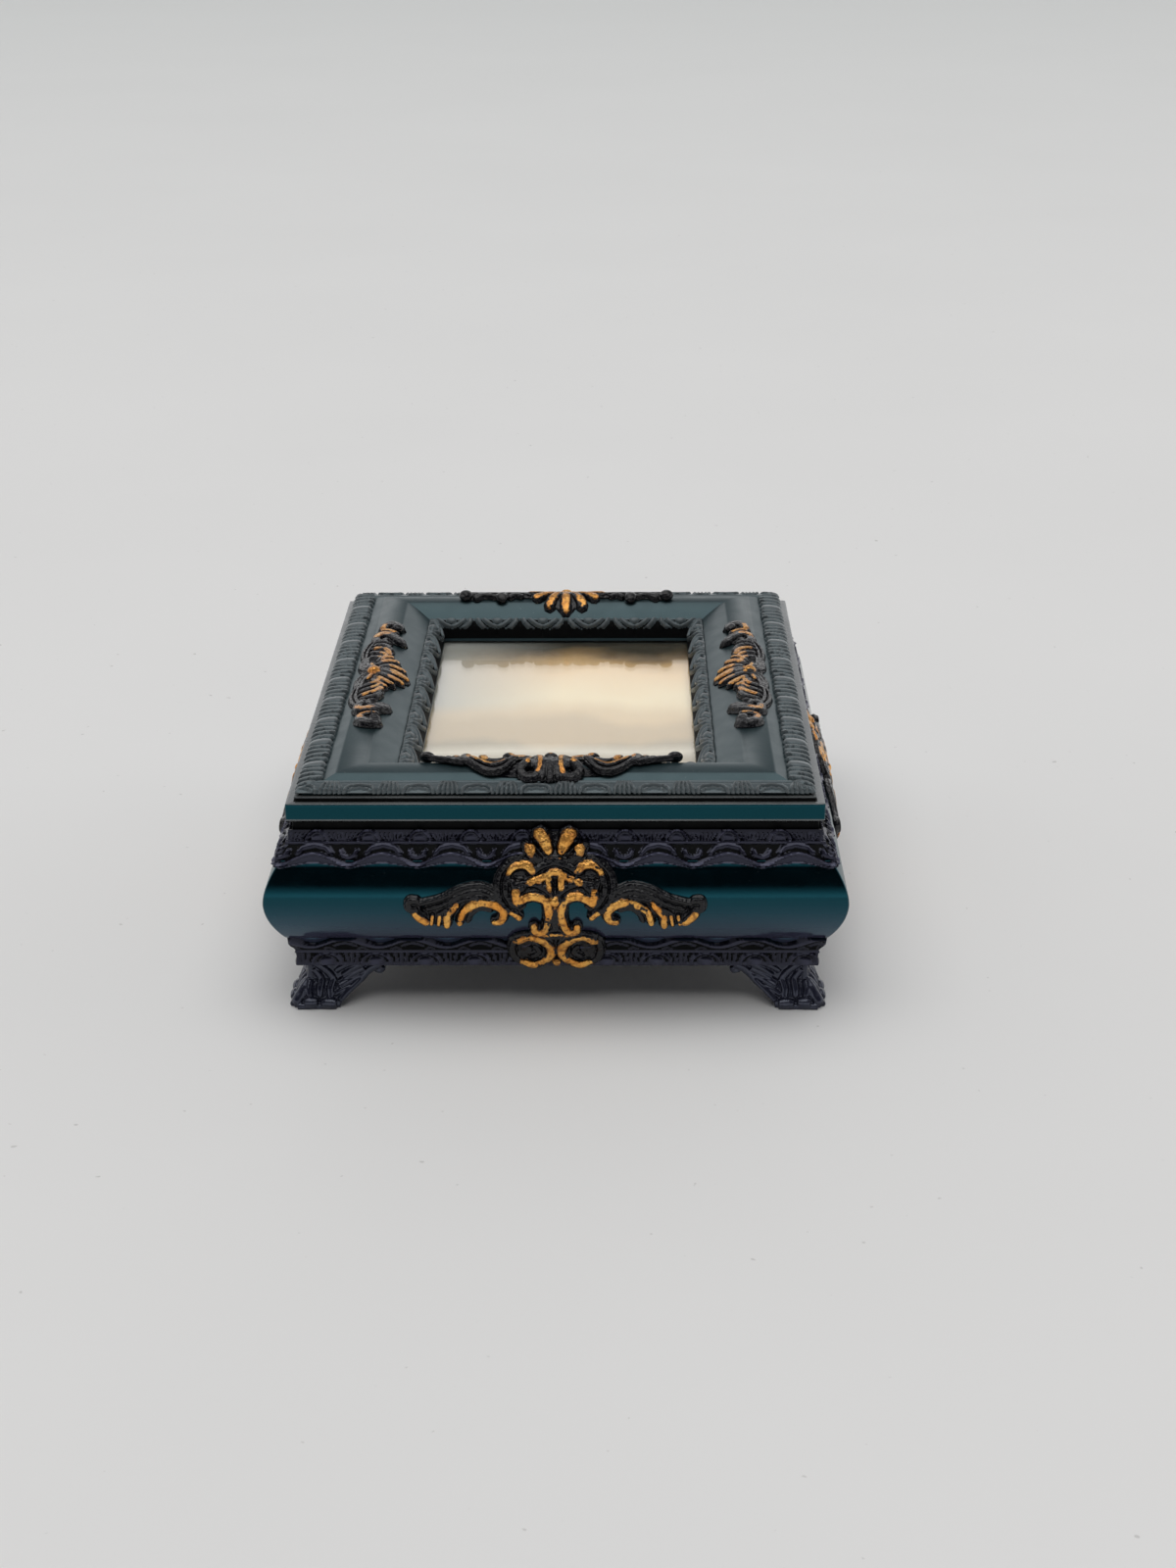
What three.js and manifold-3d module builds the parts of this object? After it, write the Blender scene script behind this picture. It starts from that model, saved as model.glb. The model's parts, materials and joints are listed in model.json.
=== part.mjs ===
// A jewellery box: a bulging body on four feet, and a hinged lid that frames a picture under glass.
// Millimetres, +Z up. The front faces -Y and the origin is on the ground under the middle of the box.
import * as THREE from "three";
import { mergeVertices } from "three/addons/utils/BufferGeometryUtils.js";
import Module from "manifold-3d";

const wasm = await Module();
wasm.setup();

// Lid outline
const LID_HALF_WIDTH = 51.9;
const LID_HALF_DEPTH = 58.2;
const SKIRT_HEIGHT = 3.7; // the plain edge round the lid
const LID_SEAT_GAP = 0.3; // between the lid and the rim it closes on
const LIP_DEPTH = 2.5; // the lip under the lid that drops inside the rim
const LIP_CLEARANCE = 0.8;

// Picture frame on the lid; widths are those of the side members
const LEDGE_WIDTH = 1.8; // the flat ledge left outside the frame
const OUTER_MOULDING_WIDTH = 4.9;
const OUTER_MOULDING_FOOT = 0.9; // the upright step where the moulding starts
const OUTER_MOULDING_HEIGHT = 2.5;
const CUSHION_WIDTH = 13.7; // the smooth swelling band between the two mouldings
const CUSHION_RISE = 2.45;
const CUSHION_STEPS = 7;
const CUSHION_OUTER_EDGE = 2.15; // heights over the ledge where the cushion starts and ends
const CUSHION_INNER_EDGE = 0.8;
const INNER_MOULDING_WIDTH = 3.8;
const INNER_MOULDING_BEAD = 0.5;
const INNER_MOULDING_DROP = 3.4; // from the cushion down to the edge of the opening
const END_MEMBER_RATIO = 0.771; // the front and back members are this much narrower than the sides
// Sections of the two mouldings: [share of the width, share of the height or of the bead]
const OUTER_MOULDING_SECTION = [[0.22, 0.86], [0.5, 1], [0.8, 0.95]];
const INNER_MOULDING_SECTION = [[0.3, 1], [0.6, -1]];
const TONGUE_WIDTH = 4; // the part of the frame that reaches down through the lid to the glass
const TONGUE_DROP = 0.8; // its straight edge under the opening

// Picture stack in the lid
const GLASS_THICKNESS = 1.4;
const GLASS_GAP = 0.2;
const CARD_THICKNESS = 0.35;
const CARD_GAP = 0.05;
const BOARD_THICKNESS = 0.75;
const WINDOW_CLEARANCE = 0.25;
const LID_LINING_THICKNESS = 1;
const LID_LINING_INSET = 0.6;

// Body, from the feet up: each height is one band of the wall
const FOOT_HEIGHT = 9.2;
const LOWER_BAND_HEIGHT = 3;
const LOWER_BORDER_HEIGHT = 4.2;
const BELLY_HEIGHT = 15.8;
const UPPER_BORDER_HEIGHT = 4.4;
const UPPER_BAND_HEIGHT = 2.1;
const NECK_HEIGHT = 1.7;
// How far each band stands out past the edge of the lid, negative inside it
const LOWER_BAND_OUT = -0.5;
const LOWER_BORDER_OUT = 1.6;
const BELLY_OUT = 4.85;
const UPPER_BORDER_OUT = 2.1;
const UPPER_BORDER_SHOULDER = [[0.125, 0.5], [0.5, 0.75]]; // shares of its way in and of its height
const UPPER_BAND_OUT = -0.5;
const NECK_OUT = -1;
const BELLY_PEAK = 0.545; // where up the belly it is widest
const BELLY_ROUNDNESS = 1.8;
const BELLY_STEPS = 7;
// Inside of the body
const NECK_WALL = 3.9; // wall of the neck, measured to the straight-sided well
const WELL_FLOOR_THICKNESS = 3.2;
const FLOOR_PAD_THICKNESS = 1.6;
const PANEL_THICKNESS = 1;
const LINING_GAP = 0.2;
const PANEL_TOP_GAP = 0.7; // between the wall panels and the lining of the lid

// Bracket feet
const FOOT_TOP_WIDTH = 15.5; // along each side of the box, at the top
const FOOT_ANKLE_WIDTH = 9.8;
const FOOT_INSTEP_WIDTH = 9.1;
const FOOT_TOE_WIDTH = 10.6;
const FOOT_SOLE_WIDTH = 10.3;
// How far its outer corner stands out past the corner of the lid
const FOOT_TOP_OUT = -1.7;
const FOOT_ANKLE_OUT = -1.8;
const FOOT_INSTEP_OUT = -0.2;
const FOOT_KNUCKLE_OUT = 0.1;
const FOOT_TOE_OUT = 0.8;
const FOOT_SOLE_OUT = 0.65;
const FOOT_EAR_THICKNESS = 3;
const FOOT_BLOCK_THICKNESS = 5.5;

// Hinges: a pair of small brass butts with knuckles behind the box
const HINGE_SPACING = 56;
const HINGE_LENGTH = 14;
const KNUCKLE_RADIUS = 1.2;
const KNUCKLE_SETBACK = 0.2; // from the lid's back edge to the knuckles
const KNUCKLE_GAP = 0.25;
const MIDDLE_KNUCKLE = 5;
const LEAF_THICKNESS = 0.5;
const LEAF_REACH = 4.4; // from the back edge of the lid inwards
const LEAF_OVERHANG = 0.05; // of its flat part past the back edge of the lid
const LEAF_SIDE_GAP = 0.2;
const KNUCKLE_ROOT = 0.1; // how far a knuckle's web runs into its leaf
const PIN_RADIUS = 0.55;
const PIN_CLEARANCE = 0.07;
const PIN_HEAD_RADIUS = 0.95;
const PIN_HEAD_FACE_RADIUS = 0.66;
const PIN_HEAD_LENGTH = 0.5;
const SCREW_HEAD_RADIUS = 0.95;
const SCREW_SHANK_RADIUS = 0.45;
const SCREW_HEAD_EDGE = 0.075; // its straight edge over the countersink
const SCREW_LENGTH = 3;
const SCREW_PLACE = 0.45; // share of the leaf's reach, from its front edge
const SCREW_INSET = 2.8; // from the ends of a leaf
const SCREW_CLEARANCE = 0.08;
const ROUND_SIDES = 10;
const SCREW_SIDES = 6;

// Cast ornaments
const ORNAMENT_GAP = 0.5; // between a casting's back and the wall or frame it is fixed to
const CARTOUCHE_EDGE = 0.9; // heights of its edge, its grooves and its ridges over the wall
const CARTOUCHE_GROOVE = 1.2;
const CARTOUCHE_RIDGE = 2.4;
const CARTOUCHE_BRIDGE = 2; // half the height over which it spans the wall's narrow coves
const LID_ORNAMENT_EDGE = 0.8;
const LID_ORNAMENT_GROOVE = 1;
const LID_ORNAMENT_RIDGE = 1.8;
const FRONT_ORNAMENT_SHIFT = -0.8; // the casting on the front of the lid sits a little to the left

// Heights worked out from those bands
const bodyBottom = FOOT_HEIGHT;
const borderBottom = bodyBottom + LOWER_BAND_HEIGHT;
const bellyBottom = borderBottom + LOWER_BORDER_HEIGHT;
const bellyTop = bellyBottom + BELLY_HEIGHT;
const upperBandBottom = bellyTop + UPPER_BORDER_HEIGHT;
const neckBottom = upperBandBottom + UPPER_BAND_HEIGHT;
const rimTop = neckBottom + NECK_HEIGHT;
const lidBottom = rimTop + LID_SEAT_GAP;
const ledgeTop = lidBottom + SKIRT_HEIGHT;
const lipBottom = lidBottom - LIP_DEPTH;
const wellHalfWidth = LID_HALF_WIDTH + NECK_OUT - NECK_WALL;
const wellHalfDepth = LID_HALF_DEPTH + NECK_OUT - NECK_WALL;
const wellFloor = bodyBottom + WELL_FLOOR_THICKNESS;
const padTop = wellFloor + FLOOR_PAD_THICKNESS;
const liningBottom = lipBottom - LID_LINING_THICKNESS;
const frameWidth = OUTER_MOULDING_WIDTH + CUSHION_WIDTH + INNER_MOULDING_WIDTH;
const openingEdge = ledgeTop + CUSHION_INNER_EDGE - INNER_MOULDING_DROP;
const tongueBottom = openingEdge - TONGUE_DROP;
const glassTop = tongueBottom - GLASS_GAP;

const resin = new THREE.MeshStandardMaterial({ color: 0x1c2527, roughness: 0.35 });
const frameResin = new THREE.MeshStandardMaterial({ color: 0x3b4747, roughness: 0.4 });
const gilded = new THREE.MeshStandardMaterial({ color: 0xb07a36, roughness: 0.4, metalness: 0.6 });
const glass = new THREE.MeshStandardMaterial({
  color: 0xdfe8e6, roughness: 0.05, transparent: true, opacity: 0.3,
});
const paper = new THREE.MeshStandardMaterial({ color: 0xc8b48c, roughness: 0.6 });
const board = new THREE.MeshStandardMaterial({ color: 0x6f5b45, roughness: 0.9 });
const velvet = new THREE.MeshStandardMaterial({ color: 0x1b1a22, roughness: 0.95 });
const brass = new THREE.MeshStandardMaterial({ color: 0xb08d4a, roughness: 0.35, metalness: 0.9 });

// Solids and meshes
const MERGE = 0.0001; // vertices closer than this are one
const WELD = 0.005;
const OVERSHOOT = 1; // how far a cut runs past the face it opens

function solidOf(geometry) {
  const bare = new THREE.BufferGeometry();
  bare.setAttribute("position", geometry.getAttribute("position"));
  if (geometry.index) bare.setIndex(geometry.index);
  const merged = mergeVertices(bare, MERGE);
  return new wasm.Manifold(
    new wasm.Mesh({
      numProp: 3,
      vertProperties: merged.attributes.position.array,
      triVerts: new Uint32Array(merged.index.array),
    }),
  );
}

// Joins and cuts leave some vertices a few thousandths of a millimetre apart: they are drawn together
// and the slivers between them dropped.
function meshOf(name, solid, material) {
  const data = solid.getMesh();
  const raw = new THREE.BufferGeometry();
  raw.setAttribute("position", new THREE.BufferAttribute(data.vertProperties, 3));
  raw.setIndex(new THREE.BufferAttribute(data.triVerts, 1));
  const geometry = mergeVertices(raw, WELD);
  const faces = [];
  for (let i = 0; i < geometry.index.count; i += 3) {
    const [a, b, c] = [0, 1, 2].map((corner) => geometry.index.getX(i + corner));
    if (a !== b && b !== c && c !== a) faces.push(a, b, c);
  }
  geometry.setIndex(faces);
  geometry.computeVertexNormals();
  const mesh = new THREE.Mesh(geometry, material);
  mesh.name = name;
  return mesh;
}

const joined = (solids) => solids.reduce((sum, solid) => sum.add(solid));

// A box given by its lowest and highest corners.
function block(low, high) {
  const size = high.map((value, axis) => value - low[axis]);
  const geometry = new THREE.BoxGeometry(...size);
  geometry.translate(...low.map((value, axis) => value + size[axis] / 2));
  return solidOf(geometry);
}

// A box centred over the origin in plan.
const slab = (halfWidth, halfDepth, bottom, top) =>
  block([-halfWidth, -halfDepth, bottom], [halfWidth, halfDepth, top]);

// A turned piece: profile points are [radius, height], from the bottom of the axis to its top.
function turned(profile, sides) {
  const points = profile.map(([radius, height]) => new THREE.Vector2(radius, height));
  const geometry = new THREE.LatheGeometry(points, sides);
  geometry.rotateX(Math.PI / 2);
  return geometry;
}

// Rings of points joined by quads, each split along the shorter of its diagonals as span measures them, and
// closed at each end; each ring runs counterclockwise when it is seen from the last ring.
function loftGeometry(rings, span = (a, b) => a.distanceTo(b)) {
  const count = rings[0].length;
  const points = rings.flat();
  const faces = [];
  for (let ring = 0; ring + 1 < rings.length; ring++) {
    for (let i = 0; i < count; i++) {
      const a = ring * count + i;
      const b = ring * count + ((i + 1) % count);
      const [c, d] = [b + count, a + count];
      if (span(points[a], points[c]) < span(points[b], points[d])) faces.push(a, b, c, a, c, d);
      else faces.push(a, b, d, b, c, d);
    }
  }
  const last = (rings.length - 1) * count;
  for (const [a, b, c] of capFaces(count)) faces.push(c, b, a, last + a, last + b, last + c);
  return geometryFrom(points, faces);
}

// A strip of triangles between the first half of a ring and its second half.
function capFaces(count) {
  const faces = [];
  for (let [i, j] = [0, count - 1]; j - i > 1; i++, j--) {
    if (j - i > 2) faces.push([i, i + 1, j - 1]);
    faces.push([i, j - 1, j]);
  }
  return faces;
}

const inPlan = (a, b) => Math.hypot(a.x - b.x, a.y - b.y);

function geometryFrom(points, faces) {
  const geometry = new THREE.BufferGeometry().setFromPoints(points);
  geometry.setIndex(faces);
  return geometry;
}

// A stack of rectangles given as [half width, half depth, height].
function stack(levels) {
  const corners = [[-1, -1], [1, -1], [1, 1], [-1, 1]];
  const ring = ([halfWidth, halfDepth, height]) =>
    corners.map(([x, y]) => new THREE.Vector3(x * halfWidth, y * halfDepth, height));
  return solidOf(loftGeometry(levels.map(ring)));
}

// Body wall: [how far out past the edge of the lid, height]
function wallProfile() {
  const belly = [];
  for (let step = 0; step <= BELLY_STEPS; step++) {
    const share = step / BELLY_STEPS;
    const below = share < BELLY_PEAK;
    const edge = below ? LOWER_BORDER_OUT : UPPER_BORDER_OUT;
    const away = below ? (BELLY_PEAK - share) / BELLY_PEAK : (share - BELLY_PEAK) / (1 - BELLY_PEAK);
    const out = BELLY_OUT - (BELLY_OUT - edge) * away ** BELLY_ROUNDNESS;
    belly.push([out, bellyBottom + share * BELLY_HEIGHT]);
  }
  const shoulder = UPPER_BORDER_SHOULDER.map(([inward, up]) => [
    THREE.MathUtils.lerp(UPPER_BORDER_OUT, UPPER_BAND_OUT, inward),
    bellyTop + up * UPPER_BORDER_HEIGHT,
  ]);
  return [
    [LOWER_BAND_OUT, bodyBottom],
    [LOWER_BAND_OUT, borderBottom],
    ...belly,
    ...shoulder,
    [UPPER_BAND_OUT, upperBandBottom],
    [UPPER_BAND_OUT, neckBottom],
    [NECK_OUT, neckBottom],
    [NECK_OUT, rimTop],
  ];
}

// Frame section: [inset from the frame's outer edge on a side member, height over the ledge]
function frameProfile() {
  const cushionStart = OUTER_MOULDING_WIDTH;
  const innerStart = cushionStart + CUSHION_WIDTH;
  const cushion = [];
  for (let step = 0; step <= CUSHION_STEPS; step++) {
    const share = step / CUSHION_STEPS;
    const base = THREE.MathUtils.lerp(CUSHION_OUTER_EDGE, CUSHION_INNER_EDGE, share);
    cushion.push([cushionStart + share * CUSHION_WIDTH, base + CUSHION_RISE * Math.sin(share * Math.PI)]);
  }
  return [
    [0, OUTER_MOULDING_FOOT],
    ...OUTER_MOULDING_SECTION.map(([across, up]) => [
      OUTER_MOULDING_WIDTH * across,
      OUTER_MOULDING_HEIGHT * up,
    ]),
    ...cushion,
    ...INNER_MOULDING_SECTION.map(([across, up]) => [
      innerStart + INNER_MOULDING_WIDTH * across,
      CUSHION_INNER_EDGE + INNER_MOULDING_BEAD * up,
    ]),
    [frameWidth, openingEdge - ledgeTop],
  ];
}

// Height over the ground, or way out, read off a profile at a given place.
function along(profile, at, from, to) {
  const next = profile.findIndex((point) => point[from] > at);
  if (next < 0) return profile.at(-1)[to];
  if (next === 0) return profile[0][to];
  const [before, after] = [profile[next - 1], profile[next]];
  const share = (at - before[from]) / (after[from] - before[from]);
  return THREE.MathUtils.lerp(before[to], after[to], share);
}

// Body
function bodyShell() {
  const levels = wallProfile().map(([out, height]) => [LID_HALF_WIDTH + out, LID_HALF_DEPTH + out, height]);
  return stack(levels).subtract(slab(wellHalfWidth, wellHalfDepth, wellFloor, rimTop + OVERSHOOT));
}

// One bracket foot for the front right corner, as sections from the ground up. In each section the outer
// corner comes first, and the two ears run back along the sides of the box.
function footGeometry() {
  const earWidth = (FOOT_ANKLE_WIDTH + FOOT_TOP_WIDTH) / 2;
  const sections = [ // share of the height, way out, width and thickness
    [0, FOOT_SOLE_OUT, FOOT_SOLE_WIDTH, FOOT_BLOCK_THICKNESS],
    [0.04, FOOT_TOE_OUT, FOOT_TOE_WIDTH, FOOT_BLOCK_THICKNESS],
    [0.18, FOOT_TOE_OUT, FOOT_TOE_WIDTH, FOOT_BLOCK_THICKNESS],
    [0.26, FOOT_KNUCKLE_OUT, FOOT_ANKLE_WIDTH, FOOT_BLOCK_THICKNESS],
    [0.42, FOOT_INSTEP_OUT, FOOT_INSTEP_WIDTH, FOOT_BLOCK_THICKNESS],
    [0.6, FOOT_ANKLE_OUT, FOOT_ANKLE_WIDTH, FOOT_BLOCK_THICKNESS],
    [0.85, FOOT_ANKLE_OUT, earWidth, FOOT_EAR_THICKNESS],
    [1, FOOT_TOP_OUT, FOOT_TOP_WIDTH, FOOT_EAR_THICKNESS],
  ];
  const rings = sections.map(([share, out, width, thickness]) => {
    const x = LID_HALF_WIDTH + out;
    const y = -LID_HALF_DEPTH - out;
    const height = share * FOOT_HEIGHT;
    return [
      new THREE.Vector3(x, y, height),
      new THREE.Vector3(x, y + width, height),
      new THREE.Vector3(x - thickness, y + width, height),
      new THREE.Vector3(x - width, y + thickness, height),
      new THREE.Vector3(x - width, y, height),
    ];
  });
  return loftGeometry(rings);
}

// Linings
function wallPanels() {
  const top = liningBottom - PANEL_TOP_GAP;
  const outX = wellHalfWidth - LINING_GAP;
  const outY = wellHalfDepth - LINING_GAP;
  const inX = outX - PANEL_THICKNESS;
  const inY = outY - PANEL_THICKNESS;
  const sideY = inY - LINING_GAP;
  return {
    lining_front: block([-outX, -outY, padTop], [outX, -inY, top]),
    lining_back: block([-outX, inY, padTop], [outX, outY, top]),
    lining_left: block([-outX, -sideY, padTop], [-inX, sideY, top]),
    lining_right: block([inX, -sideY, padTop], [outX, sideY, top]),
  };
}

// Lid
const tongueHalfWidth = LID_HALF_WIDTH - LEDGE_WIDTH - frameWidth + TONGUE_WIDTH;
const tongueHalfDepth =
  LID_HALF_DEPTH - (LEDGE_WIDTH + frameWidth - TONGUE_WIDTH) * END_MEMBER_RATIO;
const windowHalfWidth = tongueHalfWidth + WINDOW_CLEARANCE;
const windowHalfDepth = tongueHalfDepth + WINDOW_CLEARANCE;
const lipHalfWidth = wellHalfWidth - LIP_CLEARANCE;
const lipHalfDepth = wellHalfDepth - LIP_CLEARANCE;

function lidTray() {
  const window = slab(windowHalfWidth, windowHalfDepth, lipBottom - OVERSHOOT, ledgeTop + OVERSHOOT);
  return slab(LID_HALF_WIDTH, LID_HALF_DEPTH, lidBottom, ledgeTop)
    .add(slab(lipHalfWidth, lipHalfDepth, lipBottom, lidBottom))
    .subtract(window);
}

// A closed section [inset from the lid's edge, height] carried round the four sides with mitred corners.
function mitredRing(section) {
  const corners = [[-1, -1], [1, -1], [1, 1], [-1, 1]];
  const points = corners.flatMap(([x, y]) =>
    section.map(([inset, height]) => new THREE.Vector3(
      x * (LID_HALF_WIDTH - inset),
      y * (LID_HALF_DEPTH - inset * END_MEMBER_RATIO),
      height,
    )),
  );
  const count = section.length;
  const faces = [];
  for (let corner = 0; corner < corners.length; corner++) {
    const next = (corner + 1) % corners.length;
    for (let i = 0; i < count; i++) {
      const j = (i + 1) % count;
      const [a, b, c, d] = [corner * count + i, next * count + i, next * count + j, corner * count + j];
      faces.push(a, b, c, a, c, d);
    }
  }
  return geometryFrom(points, faces);
}

function pictureFrame() {
  const top = frameProfile().map(([inset, height]) => [LEDGE_WIDTH + inset, ledgeTop + height]);
  const openingInset = LEDGE_WIDTH + frameWidth;
  return solidOf(mitredRing([
    [LEDGE_WIDTH, ledgeTop],
    ...top,
    [openingInset, tongueBottom],
    [openingInset - TONGUE_WIDTH, tongueBottom],
    [openingInset - TONGUE_WIDTH, ledgeTop],
  ]));
}

function pictureStack() {
  const halfWidth = windowHalfWidth - WINDOW_CLEARANCE;
  const halfDepth = windowHalfDepth - WINDOW_CLEARANCE;
  const glassBottom = glassTop - GLASS_THICKNESS;
  const cardTop = glassBottom - CARD_GAP;
  const cardBottom = cardTop - CARD_THICKNESS;
  const boardTop = cardBottom - CARD_GAP;
  return {
    glass_pane: [slab(halfWidth, halfDepth, glassBottom, glassTop), glass],
    picture_card: [slab(halfWidth, halfDepth, cardBottom, cardTop), paper],
    backing_board: [slab(halfWidth, halfDepth, boardTop - BOARD_THICKNESS, boardTop), board],
  };
}

// Hinges, modelled about their own pin: local X runs along the pin, +Y away from the box.
const pinY = LID_HALF_DEPTH + KNUCKLE_SETBACK + KNUCKLE_RADIUS;
const pinZ = rimTop + LID_SEAT_GAP / 2;
const sideKnuckle = (HINGE_LENGTH - MIDDLE_KNUCKLE) / 2 - KNUCKLE_GAP;
const leafFront = -(KNUCKLE_SETBACK + KNUCKLE_RADIUS + LEAF_REACH);
const leafBack = -(KNUCKLE_SETBACK + KNUCKLE_RADIUS) + LEAF_OVERHANG;
const screwY = leafFront + LEAF_REACH * SCREW_PLACE;
const leafFace = LID_SEAT_GAP / 2;

function rod(radius, from, to) {
  const geometry = new THREE.CylinderGeometry(radius, radius, to - from, ROUND_SIDES);
  geometry.rotateZ(-Math.PI / 2);
  geometry.translate((from + to) / 2, 0, 0);
  return solidOf(geometry);
}

// side is -1 for the leaf on the body and 1 for the leaf under the lid.
function hingeLeaf(side) {
  const half = HINGE_LENGTH / 2;
  const spans = side < 0
    ? [[-half, -half + sideKnuckle], [half - sideKnuckle, half]]
    : [[-MIDDLE_KNUCKLE / 2, MIDDLE_KNUCKLE / 2]];
  const faces = [side * leafFace, side * (leafFace + LEAF_THICKNESS)];
  const [low, high] = faces.sort((a, b) => a - b);
  const plate = block([-half, leafFront, low], [half, leafBack, high]);
  const knuckles = spans.map(([from, to]) =>
    rod(KNUCKLE_RADIUS, from, to).add(block([from, leafBack - KNUCKLE_ROOT, low], [to, 0, high])),
  );
  return joined([plate, ...knuckles])
    .subtract(rod(PIN_RADIUS + PIN_CLEARANCE, -HINGE_LENGTH, HINGE_LENGTH))
    .subtract(joined(screwPlaces(side, SCREW_CLEARANCE)));
}

function hingePin() {
  const half = HINGE_LENGTH / 2 + PIN_CLEARANCE;
  const geometry = turned([
    [0, -half - PIN_HEAD_LENGTH],
    [PIN_HEAD_FACE_RADIUS, -half - PIN_HEAD_LENGTH],
    [PIN_HEAD_RADIUS, -half - PIN_HEAD_LENGTH / 2],
    [PIN_HEAD_RADIUS, -half],
    [PIN_RADIUS, -half],
    [PIN_RADIUS, half],
    [PIN_HEAD_RADIUS, half],
    [PIN_HEAD_RADIUS, half + PIN_HEAD_LENGTH / 2],
    [PIN_HEAD_FACE_RADIUS, half + PIN_HEAD_LENGTH],
    [0, half + PIN_HEAD_LENGTH],
  ], ROUND_SIDES);
  geometry.rotateY(Math.PI / 2);
  return solidOf(geometry);
}

// The countersunk screws of one leaf, or with a clearance the holes for them.
function screwPlaces(side, clearance) {
  const profile = [
    [0, -SCREW_LENGTH - clearance],
    [SCREW_SHANK_RADIUS + clearance, -SCREW_LENGTH + SCREW_SHANK_RADIUS - clearance],
    [SCREW_SHANK_RADIUS + clearance, -LEAF_THICKNESS],
    [SCREW_HEAD_RADIUS + clearance, -SCREW_HEAD_EDGE],
    [SCREW_HEAD_RADIUS + clearance, clearance],
    [0, clearance],
  ];
  return [-1, 1].map((place) => {
    const geometry = turned(profile, SCREW_SIDES);
    if (side > 0) geometry.rotateX(Math.PI);
    geometry.translate(place * (HINGE_LENGTH / 2 - SCREW_INSET), screwY, side * leafFace);
    return solidOf(geometry);
  });
}

// The shallow pockets that the leaves are let into, and the screw holes behind them, at both hinges.
function hingePockets(side) {
  const half = HINGE_LENGTH / 2 + LEAF_SIDE_GAP;
  const front = leafFront - LEAF_SIDE_GAP;
  const deep = side * (leafFace + LEAF_THICKNESS);
  const [low, high] = side < 0 ? [deep, OVERSHOOT] : [-OVERSHOOT, deep];
  const recess = block([-half, front, low], [half, OVERSHOOT, high]);
  const pocket = joined([recess, ...screwPlaces(side, SCREW_CLEARANCE)]);
  return joined([-1, 1].map((place) => pocket.translate(place * HINGE_SPACING / 2, pinY, pinZ)));
}

// The cartouche in the middle of each side of the body. Its outline is given from the bottom up as
// [height over the middle of the belly, half width]; it runs from the left to the right of the side.
const CARTOUCHE_OUTLINE = [
  [-14.8, 5.8], [-14, 7.2], [-12.2, 7.6], [-9.8, 8.1], [-8.2, 8.2], [-6.8, 7.2], [-5.8, 5.8], [-4.6, 7.6],
  [-4.4, 20.4], [-3.3, 26.6], [-1.8, 28.5], [-0.4, 28], [0.5, 24.6], [1.7, 20.2], [3, 15], [3.6, 11.2],
  [5.6, 9.9], [7, 7.6], [7.8, 4.6], [9.2, 3.4], [10, 5.6], [11.2, 5.8], [12.2, 4.2], [13.6, 3.6], [14.7, 2.2],
];
// How far across from the middle to the edge each ridge and groove runs
const CARTOUCHE_RIDGES = [
  [1, CARTOUCHE_EDGE], [0.84, CARTOUCHE_RIDGE], [0.66, CARTOUCHE_GROOVE], [0.46, CARTOUCHE_RIDGE],
  [0.22, CARTOUCHE_GROOVE], [0, CARTOUCHE_RIDGE],
];

function cartouche() {
  const middle = bellyBottom + BELLY_HEIGHT / 2;
  const profile = wallProfile();
  const place = (x, rise, lift) => {
    const height = middle + rise;
    const outs = [-1, 0, 1].map((side) => {
      const level = THREE.MathUtils.clamp(height + side * CARTOUCHE_BRIDGE, bodyBottom, rimTop);
      return along(profile, level, 1, 0);
    });
    const slope = (outs[2] - outs[0]) / (2 * CARTOUCHE_BRIDGE);
    const length = Math.hypot(1, slope);
    const out = Math.max(outs[1], (outs[0] + outs[2]) / 2);
    return new THREE.Vector3(x, -(out + lift / length), height - (lift * slope) / length);
  };
  const left = CARTOUCHE_RIDGES.map(([share, lift]) => [-share, lift]);
  const halves = [...left, ...CARTOUCHE_RIDGES.slice(0, -1).reverse()];
  const rings = CARTOUCHE_OUTLINE.map(([rise, halfWidth]) => {
    const back = halves.map(([share]) => place(-share * halfWidth, rise, ORNAMENT_GAP));
    const front = halves.map(([share, lift]) => place(share * halfWidth, rise, lift));
    return [...back, ...front];
  });
  return solidOf(loftGeometry(rings));
}

// The four castings on the lid, each given from its middle to its end as
// [way along the member, inset of its outer edge, inset of its inner edge].
const FRONT_OUTLINE = [
  [0, 5.2, 15], [2.2, 5.4, 15.2], [4.4, 5.4, 15.6], [6.5, 6.8, 15.6], [8, 7.6, 14.6], [9.6, 6.8, 12.5],
  [12, 6.6, 11], [14.5, 7, 14.8], [17.5, 8, 15.2], [19, 9, 13.6], [21, 9.6, 12.6], [22.5, 10.2, 13],
  [24, 10.4, 13.6], [25.2, 11, 13],
];
const BACK_OUTLINE = [
  [0, 4.8, 15.2], [2.6, 4.8, 14.2], [3.2, 4.8, 14.8], [5.5, 4.8, 12.6], [6.2, 4.8, 13], [8.2, 5, 10.6],
  [9, 5.4, 9.8], [12, 5.6, 9.6], [15, 5.8, 11], [17, 6, 10.4], [18.4, 6.4, 9.4], [20, 6.4, 10.6],
  [22.5, 6.8, 11.2], [24.7, 7.6, 10.4],
];
const SIDE_OUTLINE = [
  [0, 8.6, 19.6], [2.5, 8.4, 19], [4, 8.4, 17.4], [6.5, 8.3, 16.6], [8, 8.4, 14.6], [10, 8.6, 14],
  [12.5, 8.8, 13.6], [15, 9.2, 14], [17.5, 10, 14.4], [19.5, 10.8, 17.2], [21.5, 10.8, 17.2],
  [23, 11.2, 15], [24.8, 11.8, 14.4], [26.5, 11.4, 15.8], [28, 11.6, 15.6], [28.9, 12.4, 14.8],
];
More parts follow.
